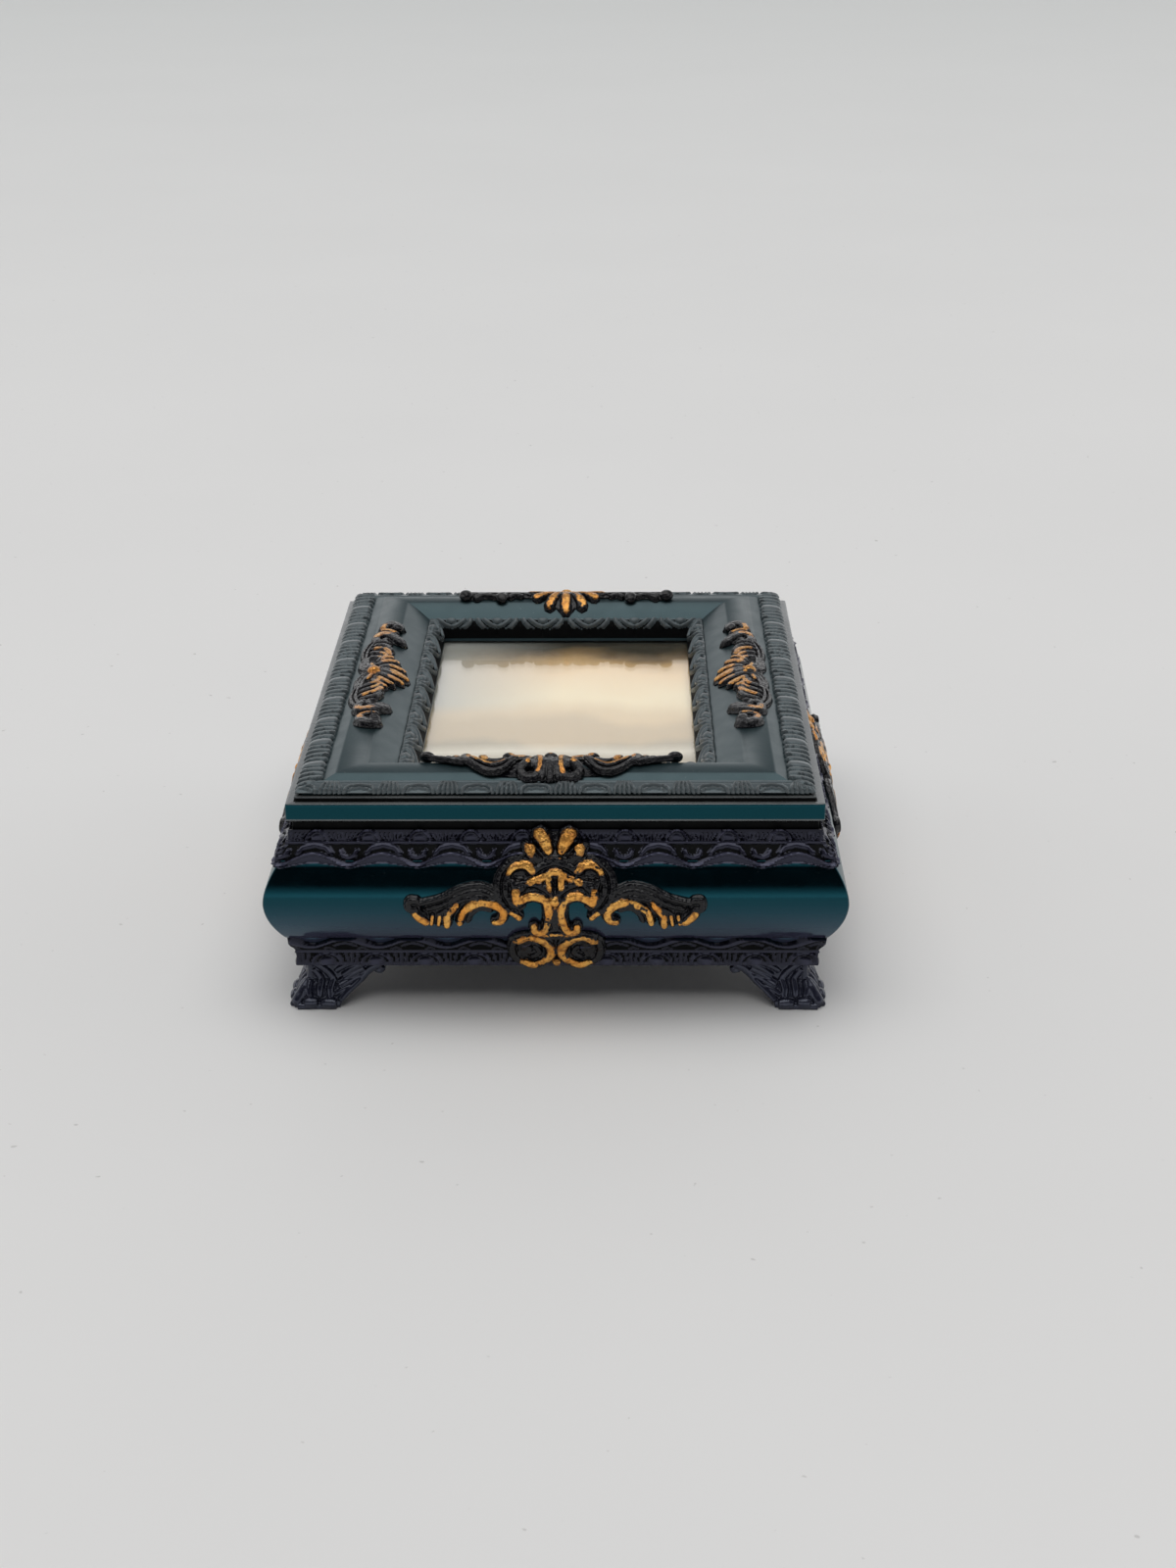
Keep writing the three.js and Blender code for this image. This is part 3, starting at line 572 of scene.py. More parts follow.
def upper_carving(side, x, way, z):
    phase = UPPER_PHASE if side in ENDS else 0
    lip_top = scallop(x, phase, 32.75, 34.65)
    lip_foot = scallop(x, phase, 31.75, 32.75)
    share = np.clip((z - lip_foot) / (lip_top - lip_foot), 0, 1)
    height = np.where(z > lip_top, 0.0, 0.22 + 0.12 * np.sin(np.pi * share))
    height = laid_over(height, bump(z - lip_top, 0.5, 0.75))
    height = laid_over(height, bump(z - lip_foot - 0.2, 0.4, 0.6))
    height = np.where(z < lip_foot, TUCKED, height)
    crest = repeat(x, UPPER_PITCH, phase)
    trough = repeat(x, UPPER_PITCH, phase + UPPER_PITCH / 2)
    height = stroked(height, crest, z, (UPPER_ARC, 0.75, 0.42))
    height = stroked(height, trough, z, (CRESCENT, 0.8, 0.5))
    height = stroked(height, trough, z, (TROUGH_CUP, 0.45, 0.75), base=0.3)
    height = np.where(z > EGG_FOOT - 0.35, 0.09, height)
    height = laid_over(height, bump(z - EGG_FOOT + 0.25, 0.42, 0.5))
    phase = EGG_PHASE if side in ENDS else 0
    egg = repeat(x, EGG_PITCH, phase)
    fan = repeat(x, EGG_PITCH, phase + EGG_PITCH / 2)
    v = z - EGG_FOOT
    height = stroked(height, egg, v, (arch(2.0, 2.2), 0.5, 0.62))
    height = laid_over(height, dome(egg, v, 1.45, 1.55, 0.5))
    for k in range(-3, 4):
        height = stroked(height, fan, v, ([(0.55 * k, 0.1), (0.75 * k, 0.9), (0.85 * k, 1.5)], 0.4, 0.45))
    return np.where((z > UPPER_SPAN[1]) | (z < UPPER_SPAN[0]), TUCKED, height)


upper_path = [
    (belly_out(31.0), 31.0), (belly_out(31.6), 31.6), (2.1, 32.2), (2.0, 33.3), (1.78, 34.4), (0.8, 35.5),
    (-0.5, 36.6), (-0.5, 39.0), (-1.5, 39.1),
]
upper_border = carved_band("upper_border_carving", upper_path, upper_carving)
finish_piece(upper_border, "box", angle=50)

# %% Lower border
LOWER_PITCH = 13.35
LOWER_PHASE = 25.1
LARGE_EGG_PITCH = {True: 9.72, False: 9.6}  # on an end, on a side
LARGE_EGG_PHASES = (-16.2, 9.9)  # left of the cartouche and right of it
LARGE_EGG_FOOT = 9.6
BEADS = ((12.25, 0.42), (9.45, 0.35))  # height and crest
BELOW_BELLY = -1.4
LOWER_TOP = 16.1
LOWER_ARC = mirrored([(0, 14.7), (1, 14.5), (2, 13.9)])
SMALL_ARC = mirrored([(0, 13.4), (0.8, 12.9)])


def lower_carving(side, x, way, z):
    end = side in ENDS
    phase = LOWER_PHASE if end else 0
    above = z - (14.95 + 1.15 * np.cos(2 * np.pi * (x - phase) / LOWER_PITCH))
    height = np.where(above > 0, -1.3, 0.05)
    height = laid_over(height, bump(above, 1.05, 0.55))
    height = stroked(height, repeat(x, LOWER_PITCH, phase), z, (LOWER_ARC, 0.5, 0.3))
    height = stroked(height, repeat(x, LOWER_PITCH / 2, phase + LOWER_PITCH / 4), z, (SMALL_ARC, 0.45, 0.22))
    for bead, crest in BEADS:
        height = laid_over(height, bump(z - bead, 0.6, crest))
    pitch = LARGE_EGG_PITCH[end]
    phase = np.where(x > -3, LARGE_EGG_PHASES[1], LARGE_EGG_PHASES[0]) if end else 0
    egg = repeat(x, pitch, phase)
    dart = repeat(x, pitch, phase + pitch / 2)
    v = z - LARGE_EGG_FOOT
    height = stroked(height, egg, v, (arch(2.9, 2.3), 0.65, 0.5))
    height = laid_over(height, dome(egg, v, 1.7, 1.5, 0.6))
    for k in (-1, 0, 1):
        height = stroked(height, dart, v, ([(0.75 * k, 0.2), (1.25 * k, 2.3)], 0.5, 0.35))
    return np.where(z > LOWER_TOP, BELOW_BELLY, height)


lower_path = [(-1.1, 9.22), (-0.5, 9.25), (-0.5, 12.2), (0.55, 14.3), (1.6, 16.4)]
lower_border = carved_band("lower_border_carving", lower_path, lower_carving)
finish_piece(lower_border, "box", angle=50)

# %% [markdown]
# ## Carving of the frame
# The outer moulding has two patterns, as the photograph shows. On the front and back, a pointed arch takes
# turns with a fan of five flutes; on the sides, broad tongues lie between pairs of leaning ribs. The inner
# moulding drops towards the glass in swags, with narrow slits between them.

# %% Outer moulding
MOULDING_PITCH = 11.3
MOULDING_PHASE = 41.6
OUTER_ARC = mirrored([(0, 2.3), (1.9, 2.0), (2.7, 1.2), (2.9, 0.1)])
INNER_ARC = mirrored([(0, 1.25), (1.4, 1.1), (1.9, 0.7)])


def end_pattern(height, unit, between, v):
    height = stroked(height, unit, v, (OUTER_ARC, 0.7, 0.5), (INNER_ARC, 0.55, 0.42))
    height = stroked(height, unit, v, ([(-2.2, 0.2), (2.2, 0.2)], 0.55, 0.4))
    for k in (-2, -1, 0, 1, 2):
        flute = [(0.95 * k, -0.05), (0.9 * k, 1.2), (0.75 * k, 2.4), (0.6 * k, 3.5)]
        height = stroked(height, between, v, (flute, 0.62, 0.48))
    return laid_over(height, bump(v - 4.4, 0.9, 0.25))


def side_pattern(height, unit, between, v):
    height = np.where(v > 0.2, -0.3, height)
    height = stroked(height, unit, v, ([(0, 0.9), (0, 3.6)], 2.7, 0.55))
    for k in (-1, 1):
        height = stroked(height, unit, v, ([(1.9 * k, 0.1), (2.55 * k, 1.8), (2.6 * k, 4.4)], 1.15, 0.5))
        height = stroked(height, between, v, ([(1.2 * k, 0.1), (0.9 * k, 4.6)], 1.15, 0.55))
    pit = np.hypot(np.abs(unit) - 3.75, 0.8 * (v - 4.4))
    return np.where(pit < 0.6, -0.5, height)


def outer_carving(side, x, way, z):
    phase = MOULDING_PHASE if side in ENDS else 0
    unit = repeat(x, MOULDING_PITCH, phase)
    between = repeat(x, MOULDING_PITCH, phase + MOULDING_PITCH / 2)
    v = way - 1.8
    pattern = end_pattern if side in ENDS else side_pattern
    height = pattern(np.where(v < -0.1, -0.3, -0.05), unit, between, v)
    height = np.where(way > 6.75, -0.09, height)
    return np.where(way < 0.2, TUCKED, height)


outer_path = [
    (-3.6, 45.3), (-2.9, 45.35), (-2.75, 45.85), (-2.2, 46.0), (-2.15, 46.25), (-2.6, 46.65), (-3.4, 46.9),
    (-4.6, 47.1), (-5.9, 47.1), (-6.7, 46.95), (-7.3, 46.8),
]
outer_moulding = carved_band("outer_moulding", outer_path, outer_carving, ratio=END_RATIO, depth=0.75)
finish_piece(outer_moulding, "lid", angle=50)

# %% Inner moulding
INNER_PITCH = 10.6
INNER_GROUND = -0.12
SLIT = -0.35


def inner_carving(side, x, way, z):
    unit = repeat(x, INNER_PITCH)
    between = repeat(x, INNER_PITCH, INNER_PITCH / 2)
    height = np.full(x.shape, INNER_GROUND)
    for k in (-1, 1):
        long_swag = [(0.75 * k, 0.6), (1.1 * k, 2.2), (2.3 * k, 3.6), (4.3 * k, 4.9)]
        short_swag = [(2.1 * k, 0.6), (2.6 * k, 1.7), (3.9 * k, 2.8), (4.9 * k, 3.2)]
        height = stroked(height, unit, way, (long_swag, 1.0, 0.45), (short_swag, 0.95, 0.38))
    height = stroked(height, between, way, ([(0, 0.7), (0, 1.5)], 2.2, 0.4))
    if side == "back":  # its foot is a hollow under the swags, darkened with painted shade
        height = np.where(way > 4.1 + 0.5 * np.cos(4 * np.pi * x / INNER_PITCH), -0.2, height)
    height = np.where(distance_to(unit, way, [(0, 0.8), (0, 2.7)]) < 0.26, SLIT, height)
    height = np.where(distance_to(between, way, [(0, 3.8), (0, 5.4)]) < 0.3, SLIT, height)
    height = laid_over(height, bump(way - 0.35, 0.55, 0.25))
    return np.where((way < 0.1) | (way > 6.2), SLIT, height)


inner_path = [
    (-20.3, 45.15), (-20.7, 45.35), (-21.54, 45.65), (-22.3, 45.1), (-22.8, 44.4), (-23.5, 43.0),
    (-24.0, 41.9), (-24.05, 41.1), (-23.7, 41.02),
]
inner_moulding = carved_band("inner_moulding", inner_path, inner_carving, ratio=END_RATIO, depth=0.45)
finish_piece(inner_moulding, "lid", ["picture_frame"], angle=50)

# %% [markdown]
# ## The velvet linings
# The floor of the well, its walls and the underside of the lid are lined with short velvet glued over
# card. Cloth simulation would move such a thin glued layer by less than its pile, so each panel is a
# block with rounded edges, subdivided and crowned a little in the middle, as padding behind it would do.

# %% Linings
LINING_STEPS = 24
LINING_ROUNDING = 0.36  # of the panel's thickness
RIPPLE = 0.08  # of the crown


def lining(node, body, thin_axis, crown):
    low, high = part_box(node)
    middle, size = (low + high) / 2, high - low
    wide_axes = [axis for axis in range(3) if axis != thin_axis]
    clean_start()
    bpy.ops.mesh.primitive_cube_add(size=1, location=middle)
    piece = named(node + "_velvet")
    piece.scale = size
    settle()
    edit_all(piece)
    bpy.ops.mesh.bevel(offset=min(size) * LINING_ROUNDING, segments=4, affect="EDGES")
    bpy.ops.mesh.subdivide(number_cuts=1)
    bpy.ops.object.mode_set(mode="OBJECT")
    panel = bmesh.new()
    panel.from_mesh(piece.data)
    for axis in wide_axes:
        direction = Vector([float(i == axis) for i in range(3)])
        for share in np.linspace(0, 1, LINING_STEPS + 1)[1:-1]:
            geom = panel.verts[:] + panel.edges[:] + panel.faces[:]
            place = low + size * float(share)
            bmesh.ops.bisect_plane(panel, geom=geom, plane_co=place, plane_no=direction, dist=1e-7)
    for vertex in panel.verts:
        across, along = (abs(vertex.co[i] - middle[i]) / size[i] * 2 for i in wide_axes)
        swell = max(0.0, 1 - across ** 4) * max(0.0, 1 - along ** 4)
        x, y, z = vertex.co
        ripple = math.sin(x * 310) * math.sin(y * 270 + 1) * math.sin(z * 330 + 2)
        if (vertex.co[thin_axis] - middle[thin_axis]) * crown > 0:
            vertex.co[thin_axis] += (crown + RIPPLE * ripple * abs(crown)) * swell * MM
    panel.to_mesh(piece.data)
    panel.free()
    return finish_piece(piece, body, [node])


floor_pad = lining("floor_lining", "box", 2, 0.35)
thin_pads = (("front", 1, 0.12), ("back", 1, -0.12), ("left", 0, 0.12), ("right", 0, -0.12))
wall_linings = [lining("lining_" + side, "box", axis, crown) for side, axis, crown in thin_pads]
lid_pad = lining("lid_lining", "lid", 2, -0.12)

# %% [markdown]
# ## Castings from strokes
# The gilded castings are scrollwork: leaves, C scrolls and beads in low relief. Modelling each leaf by
# extruding faces would take hundreds of moves. A bevelled curve whose radius changes along its length is
# the natural brush for a scroll, so each casting is drawn as strokes on a flat board. A smooth path runs
# through the points of each stroke, wider and lower copies of the strokes join them at their roots, and a
# voxel remesh makes one skin of it all. That is smoothed, thinned, cut flat at the back and laid on.

# %% Curves as brushes
def smooth_path(points, widths, steps=6):
    rows = [(*point, width) for point, width in zip(points, widths)]
    rows = np.array([rows[0], *rows, rows[-1]], float)
    path = []
    for a, b, c, d in zip(rows, rows[1:], rows[2:], rows[3:]):
        for t in np.linspace(0, 1, steps, endpoint=False):
            square, cube = 2 * a - 5 * b + 4 * c - d, 3 * b - a - 3 * c + d
            path.append(0.5 * (2 * b + (c - a) * t + square * t**2 + cube * t**3))
    return np.array([*path, rows[-1]])


def brush(name):
    curve = bpy.data.curves.new(name, "CURVE")
    curve.dimensions = "3D"
    curve.bevel_depth = MM
    curve.bevel_resolution = 3
    curve.use_fill_caps = True
    return curve


def draw(curve, x, y, height, width):
    rows = np.stack(np.broadcast_arrays(x, y, height, width), axis=-1)
    spline = curve.splines.new("POLY")
    spline.points.add(len(rows) - 1)
    for point, row in zip(spline.points, rows):
        point.co = (*row[:3] * MM, 1)
        point.radius = row[3] / 2


def mesh_of(curve):
    piece = bpy.data.objects.new(curve.name, curve)
    bpy.context.collection.objects.link(piece)
    only(piece)
    bpy.ops.object.convert(target="MESH")
    return bpy.context.object


# %% One skin
def one_skin(parts, name, voxel, keep):
    only(*parts)
    bpy.ops.object.join()
    piece = named(name)
    apply_modifier(piece, "REMESH", mode="VOXEL", voxel_size=voxel * MM)
    apply_modifier(piece, "SMOOTH", factor=0.5, iterations=1)
    apply_modifier(piece, "DECIMATE", ratio=keep)
    return piece


def cut_flat(piece, height, above=True):
    edit_all(piece)
    bpy.ops.mesh.bisect(
        plane_co=(0, 0, height * MM), plane_no=(0, 0, 1), clear_inner=above, clear_outer=not above,
        use_fill=True,
    )
    bpy.ops.object.mode_set(mode="OBJECT")


# %% Drawing strokes on a board
END_REACH = 0.33  # of the width that a stroke runs on past its last point
SOFTENING = 0.85
BEAD_HEIGHT = 0.85  # of its width


def stroke_mesh(name, strokes, flatten, lift):
    curve = brush(name)
    for points, widths, gilt in strokes:
        path = smooth_path(points, widths)
        caps = []
        for tip, before in ((path[0], path[1]), (path[-1], path[-2])):
            way = (tip - before)[:2] / max(1e-6, np.hypot(*(tip - before)[:2]))
            caps.append([*(tip[:2] + way * tip[2] * END_REACH), tip[2] * 0.5])
        x, y, width = np.vstack([caps[0], path, caps[1]]).T
        draw(curve, x, y, lift, width)
    piece = mesh_of(curve)
    for vertex in piece.data.vertices:
        rise = vertex.co.z / MM - lift
        vertex.co.z = (lift + flatten * math.tanh(rise / SOFTENING)) * MM
    return piece


def beads(places, lift):
    made = []
    for x, y, radius in places:
        clean_start()
        bpy.ops.mesh.primitive_ico_sphere_add(
            subdivisions=3, radius=radius * MM, location=(x * MM, y * MM, lift * MM)
        )
        piece = bpy.context.object
        piece.scale = (1, 1, BEAD_HEIGHT)
        settle()
        made.append(piece)
    return made


# %% Ribs, mirror images and gilding
GILD_REACH = 1.6  # half widths from the middle of a stroke at which its gilding ends
CREST_FADE = 0.25  # gilding comes in over this height to each side of a stroke's middle


def ribbed(points, widths, shares=(-0.3, 0.3)):
    path = smooth_path(points, widths, 2)
    way = np.gradient(path[:, :2], axis=0)
    across = way[:, ::-1] * (-1, 1) / np.hypot(*way.T)[:, None]
    width = list(path[:, 2] / (len(shares) + 0.3))
    return [([tuple(p) for p in path[:, :2] + across * path[:, 2:] * share], width, None) for share in shares]


def even(points, width):
    return (points, [width] * len(points), None)


def both_sides(strokes):
    sides = []
    for points, widths, gilt in strokes:
        sides.append((points, widths, gilt))
        if any(abs(x) > 0.01 for x, y in points):
            sides.append(([(-x, y) for x, y in points], widths, gilt))
    return sides


def both_beads(places):
    return [(s * x, y, r) for x, y, r in places for s in ((1, -1) if abs(x) > 0.01 else (1,))]


def gilding_of(flat, strokes, dots, lift):
    gild = np.zeros(len(flat))
    for points, widths, gilt in strokes:
        if gilt:
            path = smooth_path(points, widths)
            first, last = (int(round(share * (len(path) - 1))) for share in gilt[:2])
            part = path[first:last + 1]
            near = distance_to(flat[:, 0], flat[:, 1], part[:, :2]) / (part[:, 2].mean() / 2 * gilt[2])
            gild = np.maximum(gild, np.clip(GILD_REACH - near, 0, 1))
    for x, y, radius in dots:
        near = np.hypot(flat[:, 0] - x, flat[:, 1] - y) / radius
        gild = np.maximum(gild, np.clip(GILD_REACH - near, 0, 1))
    return gild * np.clip((flat[:, 2] - lift + CREST_FADE) / (2 * CREST_FADE), 0, 1)


# %% Casting a board
BOARD_VOXEL = 0.14
BOARD_KEEP = 0.42  # share of the faces that thinning leaves
ROOT_WIDENING = 1.1
ROOT_DROP = 0.65
BEAD_LIFT = 0.1
BACK_CUT = -0.35


def casting_board(name, base, strokes, gold_dots, dark_dots=(), lift=0.75, rim=0.3):
    base, strokes = both_sides(base), both_sides(strokes)
    gold_dots, dark_dots = both_beads(gold_dots), both_beads(dark_dots)
    roots = []
    for points, widths, gilt in strokes:
        roots.append((points, [width * ROOT_WIDENING + rim for width in widths], gilt))
    parts = [
        stroke_mesh(name + "_plate", base, flatten=0.4, lift=0.1),
        stroke_mesh(name + "_leaves", strokes, flatten=0.8, lift=lift),
        stroke_mesh(name + "_roots", roots, flatten=0.7, lift=lift - ROOT_DROP),
        *beads(gold_dots + dark_dots, lift + BEAD_LIFT),
    ]
    board = one_skin(parts, name, BOARD_VOXEL, BOARD_KEEP)
    cut_flat(board, BACK_CUT)
    flat = points_of(board)
    mark_points(board, "gilding", gilding_of(flat, strokes, gold_dots, lift))
    print(name, len(board.data.polygons), "faces on the board, highest", round(flat[:, 2].max(), 2), "mm")
    return board


def laid(board, name, place, body, node):
    piece = copied(board, name)
    move_points(piece, place(points_of(piece)))
    return finish_piece(piece, body, [node], angle=60)


# %% [markdown]
# ## The cartouche on each side
# The middle of every side carries one tall casting: a plume at the top, a crown arch over two C scrolls,
# and a wing of leaves to each side. Gold was brushed over the crests only, so the grooves stay black.
# Each stroke is its points, its widths, and its gilding: none, or from where to where along its length
# and over what share of its width. One half is drawn, and its mirror image is added.

# %% Cartouche strokes
WHOLE = (0, 1, 0.85)
cartouche_base = [
    even([(0, 12.4), (0, 6), (0, -6), (0, -13)], 5.5),
    even([(1.6, 12.6), (3, 10.6), (4.4, 10.6)], 2.6),
    even([(2, 7), (7, 6.6), (8.6, 3.4), (7, 1)], 3.6),
    even([(9.4, 2.6), (14.4, 3.6), (19.8, 1.6), (24, -0.8), (27, -0.4)], 2.6),
    even([(18.8, 0.6), (21.4, -1.2), (24, -1.8)], 2.8),
    even([(1.6, -6.6), (5, -8), (7.4, -10), (5.4, -13)], 4.2),
]
cartouche_strokes = [
    ([(2.9, 14.0), (2.2, 12.6), (1.2, 10.6)], [3.3, 2.9, 1.5], WHOLE),
    ([(5.9, 11.9), (4.4, 9.9), (2.8, 9.1)], [1.3, 1.8, 1.4], None),
    ([(4.3, 7.2), (5.3, 8.3), (7.0, 8.4), (8.6, 7.4), (9.2, 5.4)], [2.4, 2.0, 1.5, 1.2, 0.8], (0, 0.8, 0.8)),
    *ribbed([(6.2, 9.2), (8.6, 8.2), (10.2, 5.8), (10.2, 3.0), (8.6, 0.8), (7.2, 0.4)],
            [1.6, 2.2, 2.6, 2.6, 2.0, 1.2]),
    ([(8.2, 5.4), (7.4, 4.0), (6.0, 4.4)], [1.3, 1.4, 1.2], None),
    ([(-4.4, 6.9), (-2.4, 8.4), (0, 9.0), (2.4, 8.4), (4.4, 6.9)], [1.2, 1.5, 1.6, 1.5, 1.2], None),
    ([(-4.7, 5.3), (-2.4, 6.1), (0, 7.1), (2.4, 6.1), (4.7, 5.3)], [1.3, 1.5, 1.9, 1.5, 1.3], WHOLE),
    ([(1.2, 5.8), (1.1, 4.3)], [1.5, 1.2], WHOLE),
    ([(7.6, 3.4), (7.2, 1.8), (6.2, 2.3), (4.2, 2.9), (2.0, 2.2), (1.3, 0.2), (1.5, -2.4), (2.5, -4.9),
      (4.0, -4.7), (4.2, -3.3)], [2.3, 1.8, 1.6, 1.7, 1.8, 1.7, 1.6, 1.6, 1.5, 1.4], WHOLE),
    ([(7.2, 4.9), (4.0, 5.0), (1.5, 3.9), (0.3, 2.6)], [1.1, 1.3, 1.3, 1.1], None),
    ([(9.6, 0.4), (8.0, -0.4), (6.9, -1.3)], [1.0, 1.2, 1.4], (0.4, 1, 0.8)),
    ([(18.6, -2.7), (17.6, 0.2), (14.8, 1.7), (12, 1.5), (10.1, 0.0), (10.5, -1.9), (11.9, -2.4)],
     [1.2, 1.5, 1.7, 1.8, 1.8, 1.6, 1.3], WHOLE),
    ([(21.1, -3.3), (20.7, -0.5), (18.9, 1.2)], [1.4, 1.8, 1.0], WHOLE),
    ([(22.7, -3.0), (22.3, -0.6)], [1.0, 0.9], (0.1, 0.9, 0.6)),
    ([(24.1, -2.8), (23.7, -0.6)], [1.0, 0.9], (0.1, 0.9, 0.6)),
    ([(25.0, -2.4), (26.2, -1.2), (27.3, -0.4)], [1.6, 2.0, 1.3], (0, 0.8, 0.7)),
    ([(26.8, 0.4), (28.2, 0.5), (28.2, 2.0), (26.6, 2.0)], [1.1, 1.2, 1.2, 1.1], None),
    ([(10.4, 2.9), (13.8, 4.7), (18, 4.3), (22, 2.5), (26.2, 1.5)], [0.7, 0.9, 0.9, 0.9, 0.8], None),
    ([(10.8, 2.2), (14.2, 3.7), (18.2, 3.1), (21.8, 1.3), (24.8, 0.5)], [0.7, 0.9, 0.9, 0.8, 0.7], None),
    ([(11.4, 2.0), (14.6, 2.8), (18.4, 2.0), (21.2, 0.4), (22.8, -0.6)], [0.6, 0.8, 0.8, 0.7, 0.6], None),
    ([(12.4, 0.2), (14.6, 0.7), (16.4, -0.6), (17.0, -2.2)], [0.7, 0.9, 0.9, 0.8], None),
    ([(7.4, -7.4), (5.6, -6.5), (3.4, -7.1), (1.5, -8.7), (1.0, -11), (2.3, -13.3), (4.6, -14.4),
      (6.4, -13.7)], [2.3, 1.5, 1.6, 2.1, 2.2, 2.0, 1.7, 1.6], WHOLE),
    ([(8.3, -7.6), (8.7, -10), (8.2, -12.4), (7.0, -13.9)], [1.2, 1.5, 1.5, 1.2], None),
    ([(4.2, -9.2), (3.4, -11), (4.8, -12)], [1.0, 1.2, 1.0], None),
    ([(-2.4, -5.8), (0, -5.4), (2.4, -5.8)], [0.9, 1.2, 0.9], WHOLE),
    ([(0, 0.6), (0, -4)], [1.2, 1.5], None),
]
cartouche_dots = [(4.7, 11.0, 1.0), (0, 2.0, 1.0), (0, -13.8, 0.9)]
cartouche_board = casting_board(
    "cartouche_board", cartouche_base, cartouche_strokes, cartouche_dots, lift=1.0, rim=0.75
)

# %% [markdown]
# The casting is laid on the wall by its height: the smoothed wall profile gives how far out each point
# goes and which way the wall faces there. Where the wall has a narrow cove, the casting bridges it.

# %% Laying the cartouches on the walls
BELLY_MIDDLE = 24.3
BRIDGE = 2.0
wall_profile = [(-0.5, 9.2), (-0.5, 12.2), *belly, (1.78, 34.4), (0.8, 35.5), (-0.5, 36.6), (-0.5, 38.7)]
wall_profile += [(-1.0, 38.72), (-1.0, 40.4)]
wall_outs, wall_heights = zip(*wall_profile)


def wall_out(height):
    return np.interp(np.clip(height, BODY_BOTTOM, RIM_TOP), wall_heights, wall_outs)


def on_wall(side):
    edge = HALF_DEPTH if side in ENDS else HALF_WIDTH

    def place(flat):
        x, up, proud = flat.T
        height = BELLY_MIDDLE + up
        low, middle, high = (wall_out(height + k * BRIDGE) for k in (-1, 0, 1))
        slope = (high - low) / (2 * BRIDGE)
        length = np.hypot(1, slope)
        out = np.maximum(middle, (low + high) / 2) + proud / length
        return turned(side, x, edge + out, height - proud * slope / length)

    return place


cartouches = []
for side in SIDES:
    piece = laid(cartouche_board, "cartouche_casting_" + side, on_wall(side), "box", "cartouche_" + side)
    cartouches.append(piece)
bpy.data.objects.remove(cartouche_board)

# %% [markdown]
# ## The castings on the lid
# Each member of the frame carries a casting in its middle. The front one has an S leaf to each side of a
# small knob, the back one is a fan with two dark arms, and the two side ones are long sprays. They are
# drawn by their distance from the middle and from the edge of the lid.

# %% Strokes of the front casting
front_base = [
    even([(0, 6), (0, 14)], 4.4),
    even([(2, 8), (4, 12), (7, 13.6)], 3),
    even([(8, 9.6), (12, 8.4), (16, 12)], 3),
    even([(17, 10.8), (20.4, 11.8), (22.4, 12.5)], 1.2),
]
front_strokes = [
    ([(0, 12), (0, 8), (0, 4.2)], [1.1, 1.3, 1.4], None),
    ([(0.9, 10.4), (1.1, 7), (1.5, 4.6)], [0.8, 0.9, 1.0], None),
    ([(-2.6, 15.6), (0, 15.0), (2.6, 15.6)], [1.2, 1.4, 1.2], (0.3, 0.7, 0.6)),
    ([(4.6, 8.6), (5.8, 6.6), (4.3, 4.8), (2.6, 5.5), (2.0, 8.2), (2.3, 12), (3.7, 14.7), (5.8, 15.7),
      (8.8, 15)], [1.8, 1.5, 1.6, 1.6, 1.7, 1.8, 1.8, 2.0, 2.3], (0.4, 0.97, 0.5)),
    ([(8.0, 13.2), (7.1, 11.6), (7.8, 9.6)], [2.2, 1.8, 1.2], (0, 0.6, 0.75)),
    *ribbed([(7.6, 10.2), (9.2, 7.9), (11.6, 7.2), (14.4, 8.8), (16.2, 11.6), (16.7, 14.6)],
            [1.6, 2.2, 2.4, 2.4, 2.4, 2.2]),
    ([(12.6, 8.2), (14.4, 10.0), (15.5, 12.4), (15.9, 15.4)], [0.6, 0.9, 1.1, 1.2], (0.3, 1, 0.8)),
    ([(8.8, 10.4), (10.6, 9.2), (12.6, 9.9), (13.3, 12.6)], [0.8, 1.0, 1.2, 2.0], (0.65, 1, 0.8)),
    ([(16.2, 9.2), (18.0, 10.8), (18.9, 13.4)], [0.8, 1.2, 1.6], (0.6, 1, 0.7)),
    ([(17.2, 9.0), (19.4, 10.6), (20.3, 12.8)], [0.7, 0.9, 1.1], None),
    ([(18.6, 9.4), (20.8, 10.8), (21.7, 12.4)], [0.7, 0.9, 0.9], None),
    ([(20.4, 10.2), (22.4, 11.2), (23.6, 12.2)], [0.9, 1.2, 1.4], None),
    ([(8.6, 9.6), (10, 8.5), (11.8, 8.1), (13.8, 9.4), (15.2, 11.6)], [0.45, 0.6, 0.6, 0.6, 0.45], WHOLE),
    ([(16.0, 12.0), (16.5, 13.6), (16.2, 15.2)], [0.8, 1.1, 0.9], WHOLE),
    ([(0, 14.6), (0, 12.6)], [0.9, 0.6], WHOLE),
    ([(19.6, 11.6), (20.4, 12.6)], [0.5, 0.6], WHOLE),
]
front_dots = [(4.5, 8.7, 0.8)]
front_dark_dots = [(0, 13.2, 1.4), (24.3, 12.9, 1.6), (16.8, 15.2, 1.4), (8.2, 13.4, 1.4)]
print("front casting:", len(front_strokes), "strokes in one half")

